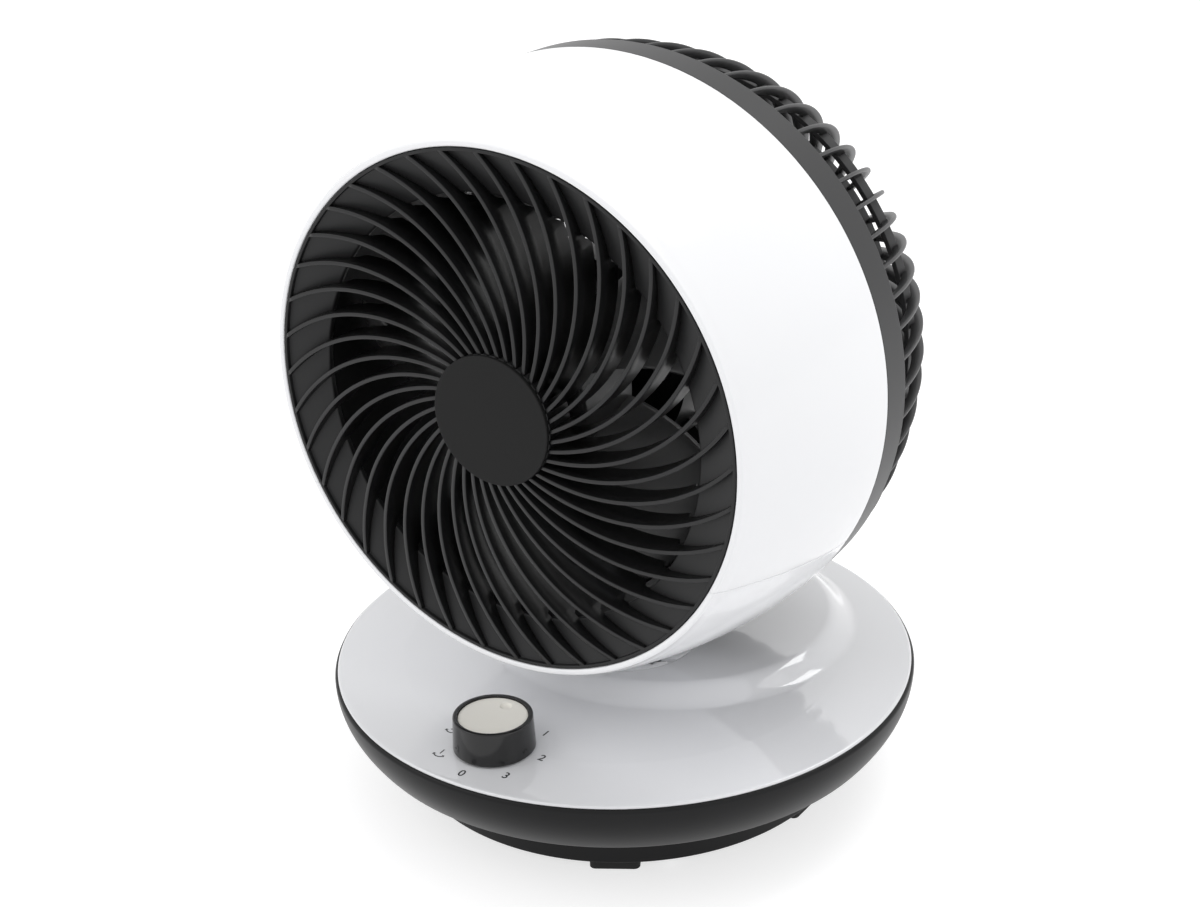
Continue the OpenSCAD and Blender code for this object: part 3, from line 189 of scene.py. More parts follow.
# Each finish has two colours and two roughnesses that it wanders between
finishes = {
    "whiteGloss": mouldedPlastic("whiteGloss", {"colour": (0.915, 0.92, 0.935),
        "colourTwo": (0.93, 0.935, 0.95), "rough": (0.09, 0.14), "coat": 0.2, "grainStrength": 0.02}),
    # The cover's white is set greyer than the shell's: partly its own bluish grey tone, partly painted shade
    # for the light that the head above keeps off it
    "coverGloss": mouldedPlastic("coverGloss", {"colour": (0.74, 0.745, 0.765),
        "colourTwo": (0.76, 0.765, 0.785), "rough": (0.08, 0.13), "coat": 0.9, "grainStrength": 0.02}),
    "blackSatin": mouldedPlastic("blackSatin", {"colour": (0.0085, 0.0085, 0.009),
        "colourTwo": (0.012, 0.012, 0.0125), "rough": (0.3, 0.4), "specular": 0.17, "grainStrength": 0.25}),
    # The duct's black is a darker copy of blackSatin's: painted shade inside the throat
    "ductBlackPaintedShade": mouldedPlastic("ductBlackPaintedShade", {"colour": (0.0065, 0.0065, 0.007),
        "colourTwo": (0.009, 0.009, 0.0095), "rough": (0.55, 0.68), "specular": 0.16, "grainStrength": 0.3}),
    # The ring and funnel are one moulding with the ribs, yet their black is set lighter than the ribs':
    # painted light
    "ringBlackPaintedLight": mouldedPlastic("ringBlackPaintedLight", {"colour": (0.012, 0.012, 0.0125),
        "colourTwo": (0.015, 0.015, 0.0155), "rough": (0.4, 0.5), "specular": 0.32, "grainStrength": 0.25}),
    "grilleBlack": mouldedPlastic("grilleBlack", {"colour": (0.0085, 0.0085, 0.009),
        "colourTwo": (0.012, 0.012, 0.0125), "rough": (0.28, 0.36), "specular": 0.4, "grainStrength": 0.18}),
    "blackGloss": mouldedPlastic("blackGloss", {"colour": (0.007, 0.007, 0.0075),
        "colourTwo": (0.01, 0.01, 0.0105), "rough": (0.1, 0.17), "specular": 0.45, "grainStrength": 0.04}),
    "bandGrey": mouldedPlastic("bandGrey", {"colour": (0.054, 0.054, 0.055),
        "colourTwo": (0.062, 0.062, 0.063), "rough": (0.3, 0.38), "specular": 0.12, "grainStrength": 0.12}),
    "hubMatte": mouldedPlastic("hubMatte", {"colour": (0.008, 0.008, 0.008),
        "colourTwo": (0.01, 0.01, 0.01), "rough": (0.5, 0.6), "specular": 0.18, "grainStrength": 0.4}),
    "ivory": mouldedPlastic("ivory", {"colour": (0.79, 0.77, 0.71),
        "colourTwo": (0.83, 0.81, 0.75), "rough": (0.25, 0.34), "grainStrength": 0.1}),
    # The impeller's grey is partly its own dark tone and partly painted light: it is lifted well above that
    # tone against the shade inside the duct
    "fanGreyPaintedLight": mouldedPlastic("fanGreyPaintedLight", {"colour": (0.07, 0.07, 0.071),
        "colourTwo": (0.085, 0.085, 0.086), "rough": (0.24, 0.36), "specular": 0.5, "grainStrength": 0.1}),
    "printGrey": mouldedPlastic("printGrey", {"colour": (0.012, 0.012, 0.014),
        "colourTwo": (0.018, 0.018, 0.02), "rough": (0.45, 0.55)}),
    "rubber": mouldedPlastic("rubber", {"colour": (0.012, 0.012, 0.012),
        "colourTwo": (0.02, 0.02, 0.02), "rough": (0.6, 0.75), "specular": 0.3, "grainScale": 900,
        "grainStrength": 0.5}),
    "gearPlastic": mouldedPlastic("gearPlastic", {"colour": (0.72, 0.70, 0.62),
        "colourTwo": (0.76, 0.74, 0.66), "rough": (0.35, 0.45)}),
    "steel": workedMetal("steel", {"colour": (0.55, 0.55, 0.57),
        "colourTwo": (0.62, 0.62, 0.64), "rough": (0.2, 0.34), "grainScale": 1400, "grainStrength": 0.2}),
    "laminations": workedMetal("laminations", {"colour": (0.32, 0.32, 0.34),
        "colourTwo": (0.4, 0.4, 0.42), "rough": (0.35, 0.5), "grainScale": 1800, "grainStrength": 0.5}),
    "castAlloy": workedMetal("castAlloy", {"colour": (0.52, 0.53, 0.55),
        "colourTwo": (0.6, 0.61, 0.63), "rough": (0.34, 0.46), "grainScale": 1100, "grainStrength": 0.4}),
    "copper": workedMetal("copper", {"colour": (0.55, 0.24, 0.1),
        "colourTwo": (0.66, 0.3, 0.14), "rough": (0.22, 0.36)}),
    "iron": workedMetal("iron", {"colour": (0.14, 0.14, 0.14),
        "colourTwo": (0.2, 0.19, 0.18), "rough": (0.5, 0.7), "grainScale": 700, "grainStrength": 0.6}),
}
slotFinish = {"white_gloss": "whiteGloss", "black_satin": "blackSatin", "black_gloss": "blackGloss",
    "grey_gloss": "bandGrey", "hub_matte": "hubMatte", "ivory_plastic": "ivory", "foot_rubber": "rubber",
    "gear_plastic": "gearPlastic", "zinc_steel": "steel", "lamination_steel": "laminations",
    "motor_alloy": "castAlloy", "enamel_copper": "copper", "ballast_iron": "iron"}

# Every CAD node starts with its slot's finish. The pieces below then stand for those that show most
for entry in frame["record"]["subparts"]:
    node = nodes[entry["node"]]
    node.data.materials.clear()
    node.data.materials.append(finishes[slotFinish[entry["material_slot"]]])
# The duct takes the darker black, which paints the shade inside the throat
nodes["air_duct"].data.materials[0] = finishes["ductBlackPaintedShade"]
print("finishes on all nodes")

# The base's white cover: from its lip a gentle slope inward, and on that an oval swelling, set
# back from the middle, that eases up from its foot and is flat round the turntable
cover = {"rim": 120.0, "lip": 1.1, "edge": 1.4, "shoulder": 92.0, "shoulderRise": 2.3, "hole": 33.0,
    "wall": 2.5, "swellBack": 31.0, "swellSide": 84.5, "swellDeep": 78.0, "swellEase": 13.0,
    "swellRise": 6.27, "lipReach": 1.15, "lipHigh": 0.98, "lipLow": 0.1, "foot": 3.0, "wellLow": 48.6,
    "wellTop": 49.2, "steps": 320}


# Slope, plus a smooth step that climbs inward from the swelling's oval foot
def coverHeight(x, y):
    c = cover
    slopeEnd = c["rim"] - c["edge"]
    inward = np.clip((slopeEnd - np.hypot(x, y)) / (slopeEnd - c["shoulder"]), 0, 1)
    rho = np.hypot(x, (y - c["swellBack"]) * c["swellSide"] / c["swellDeep"])
    ease = np.clip((c["swellSide"] - rho) / c["swellEase"], 0, 1)
    slope = c["lip"] + (c["shoulderRise"] - c["lip"]) * inward
    return rimHeight + slope + c["swellRise"] * ease ** 2 * (3 - 2 * ease)


# Rings of points whose heights lie above the cover's own surface by the given amounts
def coverRings(r, above, steps):
    angle = np.linspace(0, 2 * np.pi, steps, endpoint=False)[None, :]
    x = r[:, None] * np.cos(angle)
    y = r[:, None] * np.sin(angle)
    return np.stack([x, y, coverHeight(x, y) + above[:, None]], -1)


# One closed outline carried round the base: top, a quarter round lip, foot, underside, hole's edge
def buildCover():
    c = cover
    steps = c["steps"]
    topR = np.linspace(c["hole"] + 0.3, c["rim"] - c["edge"], 116)
    top = coverRings(topR, 0 * topR, steps)
    lipTurn = np.radians(np.linspace(75, -5, 9))
    lipR = c["rim"] - c["lipReach"] + c["lipReach"] * np.cos(lipTurn)
    lip = np.stack([lipR, rimHeight + c["lipLow"] + c["lipHigh"] * np.sin(lipTurn)], 1)
    foot = np.array([[c["rim"] - c["lipLow"], rimHeight], [c["rim"] - c["foot"], rimHeight]])
    underR = np.linspace(c["rim"] - c["foot"] - 1, c["hole"] + c["wall"], 40)
    under = coverRings(underR, 0 * underR - c["wall"], steps)
    well = np.array([[c["hole"] + c["wall"] - 0.1, c["wellLow"]], [c["hole"], c["wellLow"]],
        [c["hole"], c["wellTop"]]])
    edge = coverRings(c["hole"] + np.array([0, 0, 0.08]), np.array([-0.8, -0.25, -0.05]), steps)
    rings = np.concatenate([top, spinUpright(np.concatenate([lip, foot]), steps=steps)[0], under,
        spinUpright(well, steps=steps)[0], edge])
    # Its finish carries painted shade as well as the cover's own greyer tone
    addPiece("coverTop", [(rings[None], True, True)], "base", finishes["coverGloss"],
        ["base_cover"])


buildCover()
print("cover")

# The turntable is the CAD's own shape with its skirt drawn in, so that the cover closes round it
turntable = {"skirt": 40.0, "radius": 32.5, "chamfer": 1.0, "sharpFrom": 32}


# Every point outside the drawn-in radius moves inward along its own ray
def buildTurntable():
    mesh = nodes["turntable"].data.copy()
    mesh.name = "swivelDisc"
    mesh.materials.clear()
    points = np.empty(len(mesh.vertices) * 3)
    mesh.vertices.foreach_get("co", points)
    points = points.reshape(-1, 3)
    r = np.hypot(points[:, 0], points[:, 1]) * 1000
    inside = turntable["radius"] - np.clip(turntable["skirt"] - r, 0, turntable["chamfer"])
    points[:, :2] *= np.where(r > turntable["radius"], inside / np.maximum(r, 1), 1)[:, None]
    mesh.vertices.foreach_set("co", points.reshape(-1))
    finishMesh(mesh)
    mesh.set_sharp_from_angle(angle=math.radians(turntable["sharpFrom"]))
    # The turntable takes the cover's finish, with its painted shade
    linkPiece("swivelDisc", mesh, "swivel", finishes["coverGloss"], ["turntable"])


buildTurntable()

# The black bowl: a chamfer under the cover, a wall that tucks in, then the plinth
bowl = {"radius": 121.2, "tuck": 8.6, "wallHeight": 20.7, "top": 48.85, "floor": 26.0, "plinth": 93.0,
    "draft": 1.5, "foot": 5.0, "wall": 2.5, "chamfer": 0.6, "wallTop": 1.3, "floorRise": 0.6,
    "floorIn": 1.2, "thicken": 1.6, "steps": 256}


# An outline turned about the upright axis: the wall's radius falls with the square of its depth
def buildBowl():
    b = bowl
    u = np.linspace(0, 1, 40)
    wallFoot = b["radius"] - b["tuck"]
    footR = b["plinth"] - b["draft"]
    wall = np.stack([b["radius"] - b["tuck"] * u ** 2, b["top"] - b["wallTop"] - b["wallHeight"] * u], 1)
    chamfer = np.array([[b["radius"] - b["chamfer"], b["top"]], [b["radius"] - 0.12, b["top"] - 0.95]])
    bottom = rounded([[wallFoot - 0.2, b["floor"] + b["floorRise"]],
        [wallFoot - 0.2 - b["floorIn"], b["floor"]], [b["plinth"], b["floor"]], [footR, b["foot"]],
        [footR - b["wall"], b["foot"]],
        [b["plinth"] - b["wall"], b["floor"] + b["wall"]]], np.array([0.3, 0.5, 0.8, 0.5, 0.5, 0.5]))
    innerWall = np.stack([wall[::-1, 0] - b["wall"], wall[::-1, 1] + b["thicken"] * (1 - u)], 1)
    inner = np.concatenate([innerWall, [[b["radius"] - b["chamfer"] - b["wall"], b["top"]]]])
    outline = np.concatenate([chamfer, wall, bottom, inner])
    addPiece("bowlShell", [(spinUpright(outline, steps=b["steps"]), True, True)], "base",
        finishes["blackSatin"], ["base_bowl"])


buildBowl()
print("bowl")

# The dial: a drafted side with a soft top edge, and a pale disc sunk in its top
dial = {"centre": (0, -92), "low": 51.6, "top": 65.4, "foot": 16.3, "head": 15.7, "disc": 13.8, "bore": 4.0,
    "ceiling": 4.0, "seat": 2.6, "softEdge": 0.75, "steps": 128}


# A closed outline turned about the dial's own axis, hollow from below
def buildDial():
    c = dial
    ceiling = c["low"] + c["ceiling"]
    seat = c["top"] - c["seat"]
    side = rounded([[c["bore"], ceiling], [c["disc"], ceiling], [c["disc"], c["low"]], [c["foot"], c["low"]],
        [c["head"], c["top"]], [c["disc"] + 0.1, c["top"]], [c["disc"] + 0.1, seat], [c["bore"], seat]],
        np.array([0.1, 0.1, 0.3, 0.3, c["softEdge"], 0.25, 0.1, 0.1]))
    addPiece("dialBody", [(spinUpright(side, c["centre"], c["steps"]), True, True)], "dial",
        finishes["blackGloss"], ["knob"])


buildDial()

# The pale disc has a finger dimple
cap = {"centre": (0, -92), "radius": 13.72, "top": 64.6, "thick": 1.7, "round": 0.3, "dimpleOut": 8.83,
    "dimpleRadius": 2.5, "dimpleDepth": 1.25, "sideTop": 0.8, "steps": 144}


# Rays run from the dimple's middle to the disc's edge, and along a ray the dip is 1 less the fourth
# power of the distance. The edge is a quarter round about the disc's own middle
def buildCap():
    c = cap
    angle = np.linspace(0, 2 * np.pi, c["steps"], endpoint=False)[None, :]
    across = c["dimpleOut"] * np.cos(angle)
    away = -c["dimpleOut"] * np.sin(angle) + np.sqrt(c["radius"] ** 2 - across ** 2)
    bowlStep = np.array([0, 0.2, 0.4, 0.6, 0.8, 0.93, 1, 1.06, 1.15])[:, None]
    dip = -c["dimpleDepth"] * np.clip(1 - bowlStep ** 4, 0, 1)
    inner = bowlStep * c["dimpleRadius"] + 0 * angle
    rim = c["radius"] - c["round"]
    flatEnd = away * rim / c["radius"]
    flat = inner[-1:] + (flatEnd - inner[-1:]) * np.linspace(0.1, 1, 12)[:, None]
    x = np.concatenate([inner, flat]) * np.cos(angle)
    y = c["dimpleOut"] + np.concatenate([inner, flat]) * np.sin(angle)
    z = c["top"] + np.concatenate([dip + 0 * angle, 0 * flat])
    ring = np.arctan2(y[-1], x[-1])[None, :]
    size = np.hypot(x[-1], y[-1])[None, :]
    turn = np.radians([30, 60, 90])[:, None]
    edgeR = size + (c["radius"] - size) * np.sin(turn)
    edgeZ = c["top"] - c["round"] + c["round"] * np.cos(turn) + 0 * ring
    under = c["top"] - c["thick"]
    sideR = np.array([c["radius"], c["radius"], c["radius"] - c["round"], 0.0])[:, None] + 0 * ring
    sideZ = np.array([c["top"] - c["sideTop"], under + c["round"], under, under])[:, None] + 0 * ring
    allR = np.concatenate([edgeR, sideR])
    x = np.concatenate([x, allR * np.cos(ring)]) + c["centre"][0]
    y = np.concatenate([y, allR * np.sin(ring)]) + c["centre"][1]
    z = np.concatenate([z, edgeZ, sideZ])
    addPiece("dialDisc", [(np.stack([x, y, z], -1)[None], False, True)], "dial",
        finishes["ivory"], ["knob_cap"])


buildCap()

# The print round the dial: four plain digits, and three with a curved double arrow for the swing
marks = {"ring": 21.3, "digitHeight": 4.0, "sizeForHeight": 1.36, "proud": 0.05, "bold": 0.05,
    "plain": {"0": -90, "1": 55, "2": 6, "3": -42}, "swing": {"1": -137, "2": 177, "3": 126},
    "swingDigit": 0.75, "swingLift": 1.2, "arrowRadius": 2.8, "stroke": 0.5, "head": 0.85, "arrowLift": 0.5,
    "arrowTips": (205, 335), "arrowNecks": (222, 318)}


# A digit's outline as a thin mesh, its middle on the origin
def digitShape(text, height):
    letters = bpy.data.curves.new("digit", "FONT")
    letters.body = text
    letters.size = height * marks["sizeForHeight"]
    letters.align_x = "CENTER"
    letters.align_y = "CENTER"
    letters.extrude = marks["proud"]
    letters.offset = marks["bold"]
    letters.resolution_u = 6
    holder = bpy.data.objects.new("digit", letters)
    bpy.context.scene.collection.objects.link(holder)
    bpy.context.view_layer.update()
    shape = bpy.data.meshes.new_from_object(holder.evaluated_get(bpy.context.evaluated_depsgraph_get()))
    points = np.empty(len(shape.vertices) * 3)
    shape.vertices.foreach_get("co", points)
    faces = [tuple(face.vertices) for face in shape.polygons]
    bpy.data.objects.remove(holder)
    points = points.reshape(-1, 3)
    points[:, :2] -= (points[:, :2].min(0) + points[:, :2].max(0)) / 2
    return points, faces


# A ribbon along an arc, as wide as the stroke, that swells into an arrow head at both ends
def arrowShape():
    m = marks
    one, two = m["arrowNecks"]
    bend = np.linspace(one + 1, two - 1, 24)
    tips = m["arrowTips"]
    angle = np.concatenate([[tips[0], one, one + 0.01], bend, [two - 0.01, two, tips[1]]])
    angle = np.radians(angle)
    half = np.full(len(angle), m["stroke"] / 2)
    half[[0, -1]] = 0
    half[[1, -2]] = m["head"]
    outer = m["arrowRadius"] + half
    inner = m["arrowRadius"] - half
    r = np.stack([outer, inner, inner, outer], 1)
    z = np.array([-1, -1, 1, 1])[None, :] * m["proud"] + 0 * r
    points = np.stack([r * np.cos(angle)[:, None], r * np.sin(angle)[:, None] + m["arrowLift"], z], -1)
    return points.reshape(-1, 3), gridQuads(1, len(angle), 4, False, True).tolist()


# Lays a flat shape on the cover: its height follows the cover's own surface
def layOnCover(points, angle, shiftUp):
    a = math.radians(angle)
    x = dial["centre"][0] + marks["ring"] * math.cos(a) + points[:, 0]
    y = dial["centre"][1] + marks["ring"] * math.sin(a) + points[:, 1] + shiftUp
    return np.stack([x, y, coverHeight(x, y) + points[:, 2]], 1)


def buildMarks():
    points = []
    faces = []
    start = 0
    jobs = [(digitShape(t, marks["digitHeight"]), a, 0) for t, a in marks["plain"].items()]
    small = marks["digitHeight"] * marks["swingDigit"]
    jobs += [(digitShape(t, small), a, marks["swingLift"]) for t, a in marks["swing"].items()]
    jobs += [(arrowShape(), a, 0) for a in marks["swing"].values()]
    for (shape, shapeFaces), angle, lift in jobs:
        points.append(layOnCover(shape, angle, lift))
        faces += [tuple(i + start for i in face) for face in shapeFaces]
        start += len(shape)
    mesh = bpy.data.meshes.new("dialMarks")
    mesh.from_pydata((np.concatenate(points) * 0.001).tolist(), [], faces)
    finishMesh(mesh, False)
    linkPiece("dialMarks", mesh, "base", finishes["printGrey"], ())


buildMarks()
print("dial")


# The drum's two white shells part along a plane that rises towards the front, and the lower one
# has a slot for the hinge
shell = {"radius": 119.7, "taper": 14.1, "length": 81.1, "seam": -2.1, "front": 79.0, "wall": 2.5,
    "lipInner": 102.9, "lipBack": 75.0, "lipStep": 0.45, "nose": 1.2, "partDrop": 60.5, "partSlope": 8.7,
    "partGap": 0.12, "slotHalf": 15.3, "slotBack": 4.7, "slotFront": 19.3, "upperSteps": 170,
    "lowerSteps": 50, "middleSteps": 14}

# Fractions of the way round at which support loops stand, and how far a parted edge draws in
partLoops = np.array([0, 0.0004, 0.0012, 0.004])
partPinch = np.array([0.1, 0.02])


# The outer radius falls off with the square of the distance from the seam
def shellRadius(f):
    return shell["radius"] - shell["taper"] * ((f - shell["seam"]) / shell["length"]) ** 2


# Matched outer and inner points of the wall, as (radius, forward distance), and the slot's rows.
# The nose is a quarter round, and the inner side ends in a lip
def shellSection():
    s = shell
    backRows = 6
    slotRows = 9
    f = np.concatenate([[s["seam"] + 0.12, s["seam"] + 0.5], np.linspace(-1, s["slotBack"], backRows),
        np.linspace(s["slotBack"], s["slotFront"], slotRows)[1:],
        np.linspace(s["slotFront"], s["lipBack"], 34)[1:]])
    first = 2 + backRows
    last = first + slotRows - 1
    outer = np.stack([shellRadius(f), f], 1)
    inner = np.stack([shellRadius(f) - s["wall"], f], 1)
    edge = shellRadius(s["front"]) - s["nose"]
    turn = np.radians(np.linspace(0, 90, 8))
    nose = np.stack([edge + s["nose"] * np.cos(turn), s["front"] - s["nose"] * (1 - np.sin(turn))], 1)
    lipLength = s["front"] - s["lipStep"] - s["lipBack"]
    lip = np.stack([np.full(10, s["lipInner"]), s["lipBack"] + lipLength * np.linspace(0, 1, 10)], 1)
    flat = np.array([[s["lipInner"] + 2 * s["lipStep"], s["front"]], [s["lipInner"] + 0.4, s["front"]]])
    outer = np.concatenate([[[s["radius"] - 0.15, s["seam"]]], outer, nose, flat])
    inner = np.concatenate([[[s["radius"] - s["wall"], s["seam"]]], inner, lip])
    return outer, inner, first, last


# Carries the wall's section from one edge to the other: each edge is an angle worked out for every
# point's radius, and the angle runs evenly between the two
def sweepWall(pairs, edgeOne, edgeTwo, steps, pinchOne, pinchTwo):
    t = np.linspace(0, 1, steps)
    if pinchOne:
        t = np.concatenate([partLoops, t[1:]])
    if pinchTwo:
        t = np.concatenate([t[:-1], 1 - partLoops[::-1]])
    pinch = np.zeros(len(t))
    if pinchOne:
        pinch[:2] = partPinch
    if pinchTwo:
        pinch[-2:] = partPinch[::-1]
    angle = edgeOne[..., None] + (edgeTwo - edgeOne)[..., None] * t
    inward = np.array([1, -1])[:, None, None] * pinch
    r = pairs[..., 0][..., None] - inward
    return headPoint(r * np.cos(angle), r * np.sin(angle), pairs[..., 1][..., None] + 0 * angle)


# Closes a swept wall into stacks: outer and inner faces, its two long edges and any caps
def wallStacks(swept, capOne, capTwo):
    loop = np.concatenate([swept[0], swept[1][::-1]])
    stacks = [(loop[None], True, False)]
    if capOne:
        stacks.append((swept[:, :, 0][None], False, False))
    if capTwo:
        stacks.append((swept[:, :, -1][None], False, False))
    return stacks


# The parting plane's height gives each point of the section its own edge angle, by an arc sine
def buildShell():
    s = shell
    outer, inner, slotA, slotB = shellSection()
    pairs = np.stack([outer, inner])
    level = -s["partDrop"] + math.tan(math.radians(s["partSlope"])) * pairs[..., 1]
    top = np.arcsin((level + s["partGap"] / 2) / pairs[..., 0])
    low = np.arcsin((level - s["partGap"] / 2) / pairs[..., 0])
    upper = sweepWall(pairs, top, np.pi - top, s["upperSteps"], True, True)
    addPiece("shellUpper", wallStacks(upper, True, True), "head", finishes["whiteGloss"],
        ["shell_upper"])
    slot = np.arcsin(s["slotHalf"] / pairs[..., 0])
    right = sweepWall(pairs, low, -np.pi / 2 + slot, s["lowerSteps"], True, False)
    middle = sweepWall(pairs, -np.pi / 2 + slot, -np.pi / 2 - slot, s["middleSteps"], False, False)
    left = sweepWall(pairs, -np.pi / 2 - slot, -np.pi - low, s["lowerSteps"], False, True)
    stacks = wallStacks(right, True, False) + wallStacks(left, False, True)
    stacks += wallStacks(middle[:, :slotA + 1], False, False) + wallStacks(middle[:, slotB:], False, False)
    stacks.append((right[:, slotA:slotB + 1, -1][None], False, False))
    stacks.append((left[:, slotA:slotB + 1, 0][None], False, False))
    addPiece("shellLower", stacks, "head", finishes["whiteGloss"], ["shell_lower"])


buildShell()
print("shell")

# The swirl grille: ribs that leave the hub and sweep to the ring, with rounded front edges
swirl = {"ribs": 40, "arcRadius": 77.3, "arcOffset": 70.7, "phase": 6.28, "thick": 1.6, "root": 24.6,
    "hub": 25.7, "hubWall": 3.0, "hubBack": 68.0, "hubFloor": 76.0, "hubTop": 81.4, "outer": 102.6,
    "ring": 101.3, "step": 1.8, "front": 79.0, "bulge": 2.4, "bulgeFrom": 84.0, "back": 68.0, "throat": 84.4,
    "funnelDepth": 4.2, "skirt": 73.0, "wall": 2.2, "edgeRound": 0.35, "tuck": 0.7, "capTop": 83.15}


# Height of the funnel's face: straight from the foot of the ring's step to the throat
def funnelHeight(rho):
    top = swirl["front"] - swirl["step"]
    inward = np.clip((swirl["ring"] - rho) / (swirl["ring"] - swirl["throat"]), 0, 1)
    return top - swirl["funnelDepth"] * inward


# A rib lies along an arc whose centre is arcOffset from the axis: at each distance rho from the axis
# the law of cosines gives the turn round that arc. Its front edge rises from the ring to the hub
def swirlRib():
    s = swirl
    reach = s["ring"] + s["tuck"]
    rho = np.concatenate([[s["root"]], np.linspace(s["root"], reach, 46), [reach]])
    turn = -np.arccos((rho ** 2 - s["arcOffset"] ** 2 - s["arcRadius"] ** 2)
        / (2 * s["arcOffset"] * s["arcRadius"]))
    centre = np.stack([s["arcOffset"] + s["arcRadius"] * np.cos(turn), s["arcRadius"] * np.sin(turn)], 1)
    across = np.stack([np.cos(turn), np.sin(turn)], 1)
    rise = np.clip((s["bulgeFrom"] - rho) / (s["bulgeFrom"] - s["hub"]), 0, 1)
    front = s["front"] + s["bulge"] * rise * (1.12 - 0.12 * rise)
    back = np.where(rho < s["throat"] - 3, s["back"], funnelHeight(rho) - 0.8)
    crown = np.radians(np.linspace(180, 0, 9))
    half = s["thick"] / 2
    flank = half - s["edgeRound"]
    wide = np.concatenate([[-half, -half], flank + s["edgeRound"] * np.cos(crown), [half, half]])
    wide[2:7] -= 2 * flank
    lift = np.concatenate([[0, 0], s["edgeRound"] * (np.sin(crown) - 1), [0, 0]])
    level = np.concatenate([[0, 0.85], np.ones(9), [0.85, 0]])
    f = back[:, None] + (front - back)[:, None] * level[None, :] + lift[None, :]
    xy = centre[:, None, :] + across[:, None, :] * wide[None, :, None]
    # both ends close to a point
    tail = np.ones(len(rho))
    tail[0] = tail[-1] = 0
    xy = centre[:, None, :] + (xy - centre[:, None, :]) * tail[:, None, None]
    f = f.mean(1, keepdims=True) + (f - f.mean(1, keepdims=True)) * tail[:, None]
    return xy, f


# Copies of the rib turned about the head's axis, then the hub, ring and disc as turned outlines
def buildSwirl():
    s = swirl
    xy, f = swirlRib()
    a = np.radians(s["phase"] + np.arange(s["ribs"]) * 360 / s["ribs"])[:, None, None]
    x = xy[None, :, :, 0] * np.cos(a) - xy[None, :, :, 1] * np.sin(a)
    y = xy[None, :, :, 0] * np.sin(a) + xy[None, :, :, 1] * np.cos(a)
    ribs = headPoint(x, y, np.broadcast_to(f[None], x.shape))
    low = funnelHeight(s["throat"])
    step = funnelHeight(s["ring"])
    ringInner = s["outer"] - s["wall"]
    ring = rounded([[s["ring"], step], [s["ring"], s["front"]], [s["outer"], s["front"]],
        [s["outer"], s["skirt"]], [ringInner, s["skirt"]], [ringInner, step - s["wall"]],
        [s["throat"] + 2, low - 2], [s["throat"], low - 2], [s["throat"], low]],
        np.array([0.2, 0.35, 0.4, 0.2, 0.2, 0.5, 0.5, 0.2, 1.2]))
    hubInner = s["hub"] - s["hubWall"]
    hub = rounded([[0, s["hubFloor"]], [hubInner, s["hubFloor"]], [hubInner, s["hubBack"]],
        [s["hub"], s["hubBack"]], [s["hub"], s["hubTop"] - 0.05], [0, s["hubTop"]]],
        np.array([0.02, 0.3, 0.3, 0.3, 0.4, 0.02]))
    addPiece("swirlRibs", [(ribs, False, True), (spinHead(hub, 128), True, True)], "head",
        finishes["grilleBlack"], ["front_grille"])
    # The ring and funnel take the lighter black, which paints light on them
    addPiece("swirlRing", [(spinHead(ring), True, True)], "head", finishes["ringBlackPaintedLight"],
        ["front_grille"])
    seat = s["hubTop"] + 0.05
    disc = rounded([[0, seat], [s["hub"], seat], [s["hub"], s["capTop"] - 0.05], [0, s["capTop"]]],
        np.array([0.02, 0.3, 0.45, 0.02]))
    addPiece("hubDisc", [(spinHead(disc, 160), True, True)], "head", finishes["hubMatte"],
        ["grille_cap"])


buildSwirl()
print("swirl grille")

# The rear grille: flat ribs in planes through the axis, two hoops inside them, a band and a disc
dome = {"radius": 119.4, "centre": -4.5, "ribs": 62, "thick": 1.5, "edgeDepth": 0.93, "grow": 9.5,
    "startDepth": 11.0, "cap": 50.0, "capWall": 2.0, "capDepth": 8.0, "capFace": 0.6, "capBevel": 6.0,
    "edgeRound": 0.45, "bandFront": -2.25, "bandBack": -18.0, "bandOuter": (119.7, 118.95),
    "bandInner": (117.1, 116.35), "hoops": (-53.0, -86.5), "hoopSphere": 118.47, "hoopCentre": 5.0,
    "hoopHalf": 2.85, "hoopThick": 2.0, "hoopOut": 0.8}


# A rib runs between two curves round the dome's centre: the outer is a circle, and the inner one
# drifts away from it with the sine of the angle. Its outer edge is rounded
def domeRib():
    d = dome
    start = math.degrees(math.asin(d["startDepth"] / d["radius"]))
    end = 90 - math.degrees(math.asin((d["cap"] - 1.2) / d["radius"]))
    phi = np.radians(np.concatenate([[start], np.linspace(start, end, 60), [end]]))
    # both ends close to a point
    tail = np.ones(len(phi))
    tail[0] = tail[-1] = 0
    depth = d["edgeDepth"] + d["grow"] * np.sin(phi)
    crown = np.radians(np.linspace(180, 0, 7))
    half = d["thick"] / 2
    wide = np.concatenate([[-half], half * np.cos(crown), [half]])
    inward = np.concatenate([[1], np.zeros(7), [1]])
    lift = np.concatenate([[0], d["edgeRound"] * (np.sin(crown) - 1), [0]])
    radius = d["radius"] - depth[:, None] * inward[None, :] + lift[None, :]
    mean = radius.mean(1, keepdims=True)
    radius = mean + (radius - mean) * tail[:, None]
    return radius, wide[None, :] * tail[:, None], phi


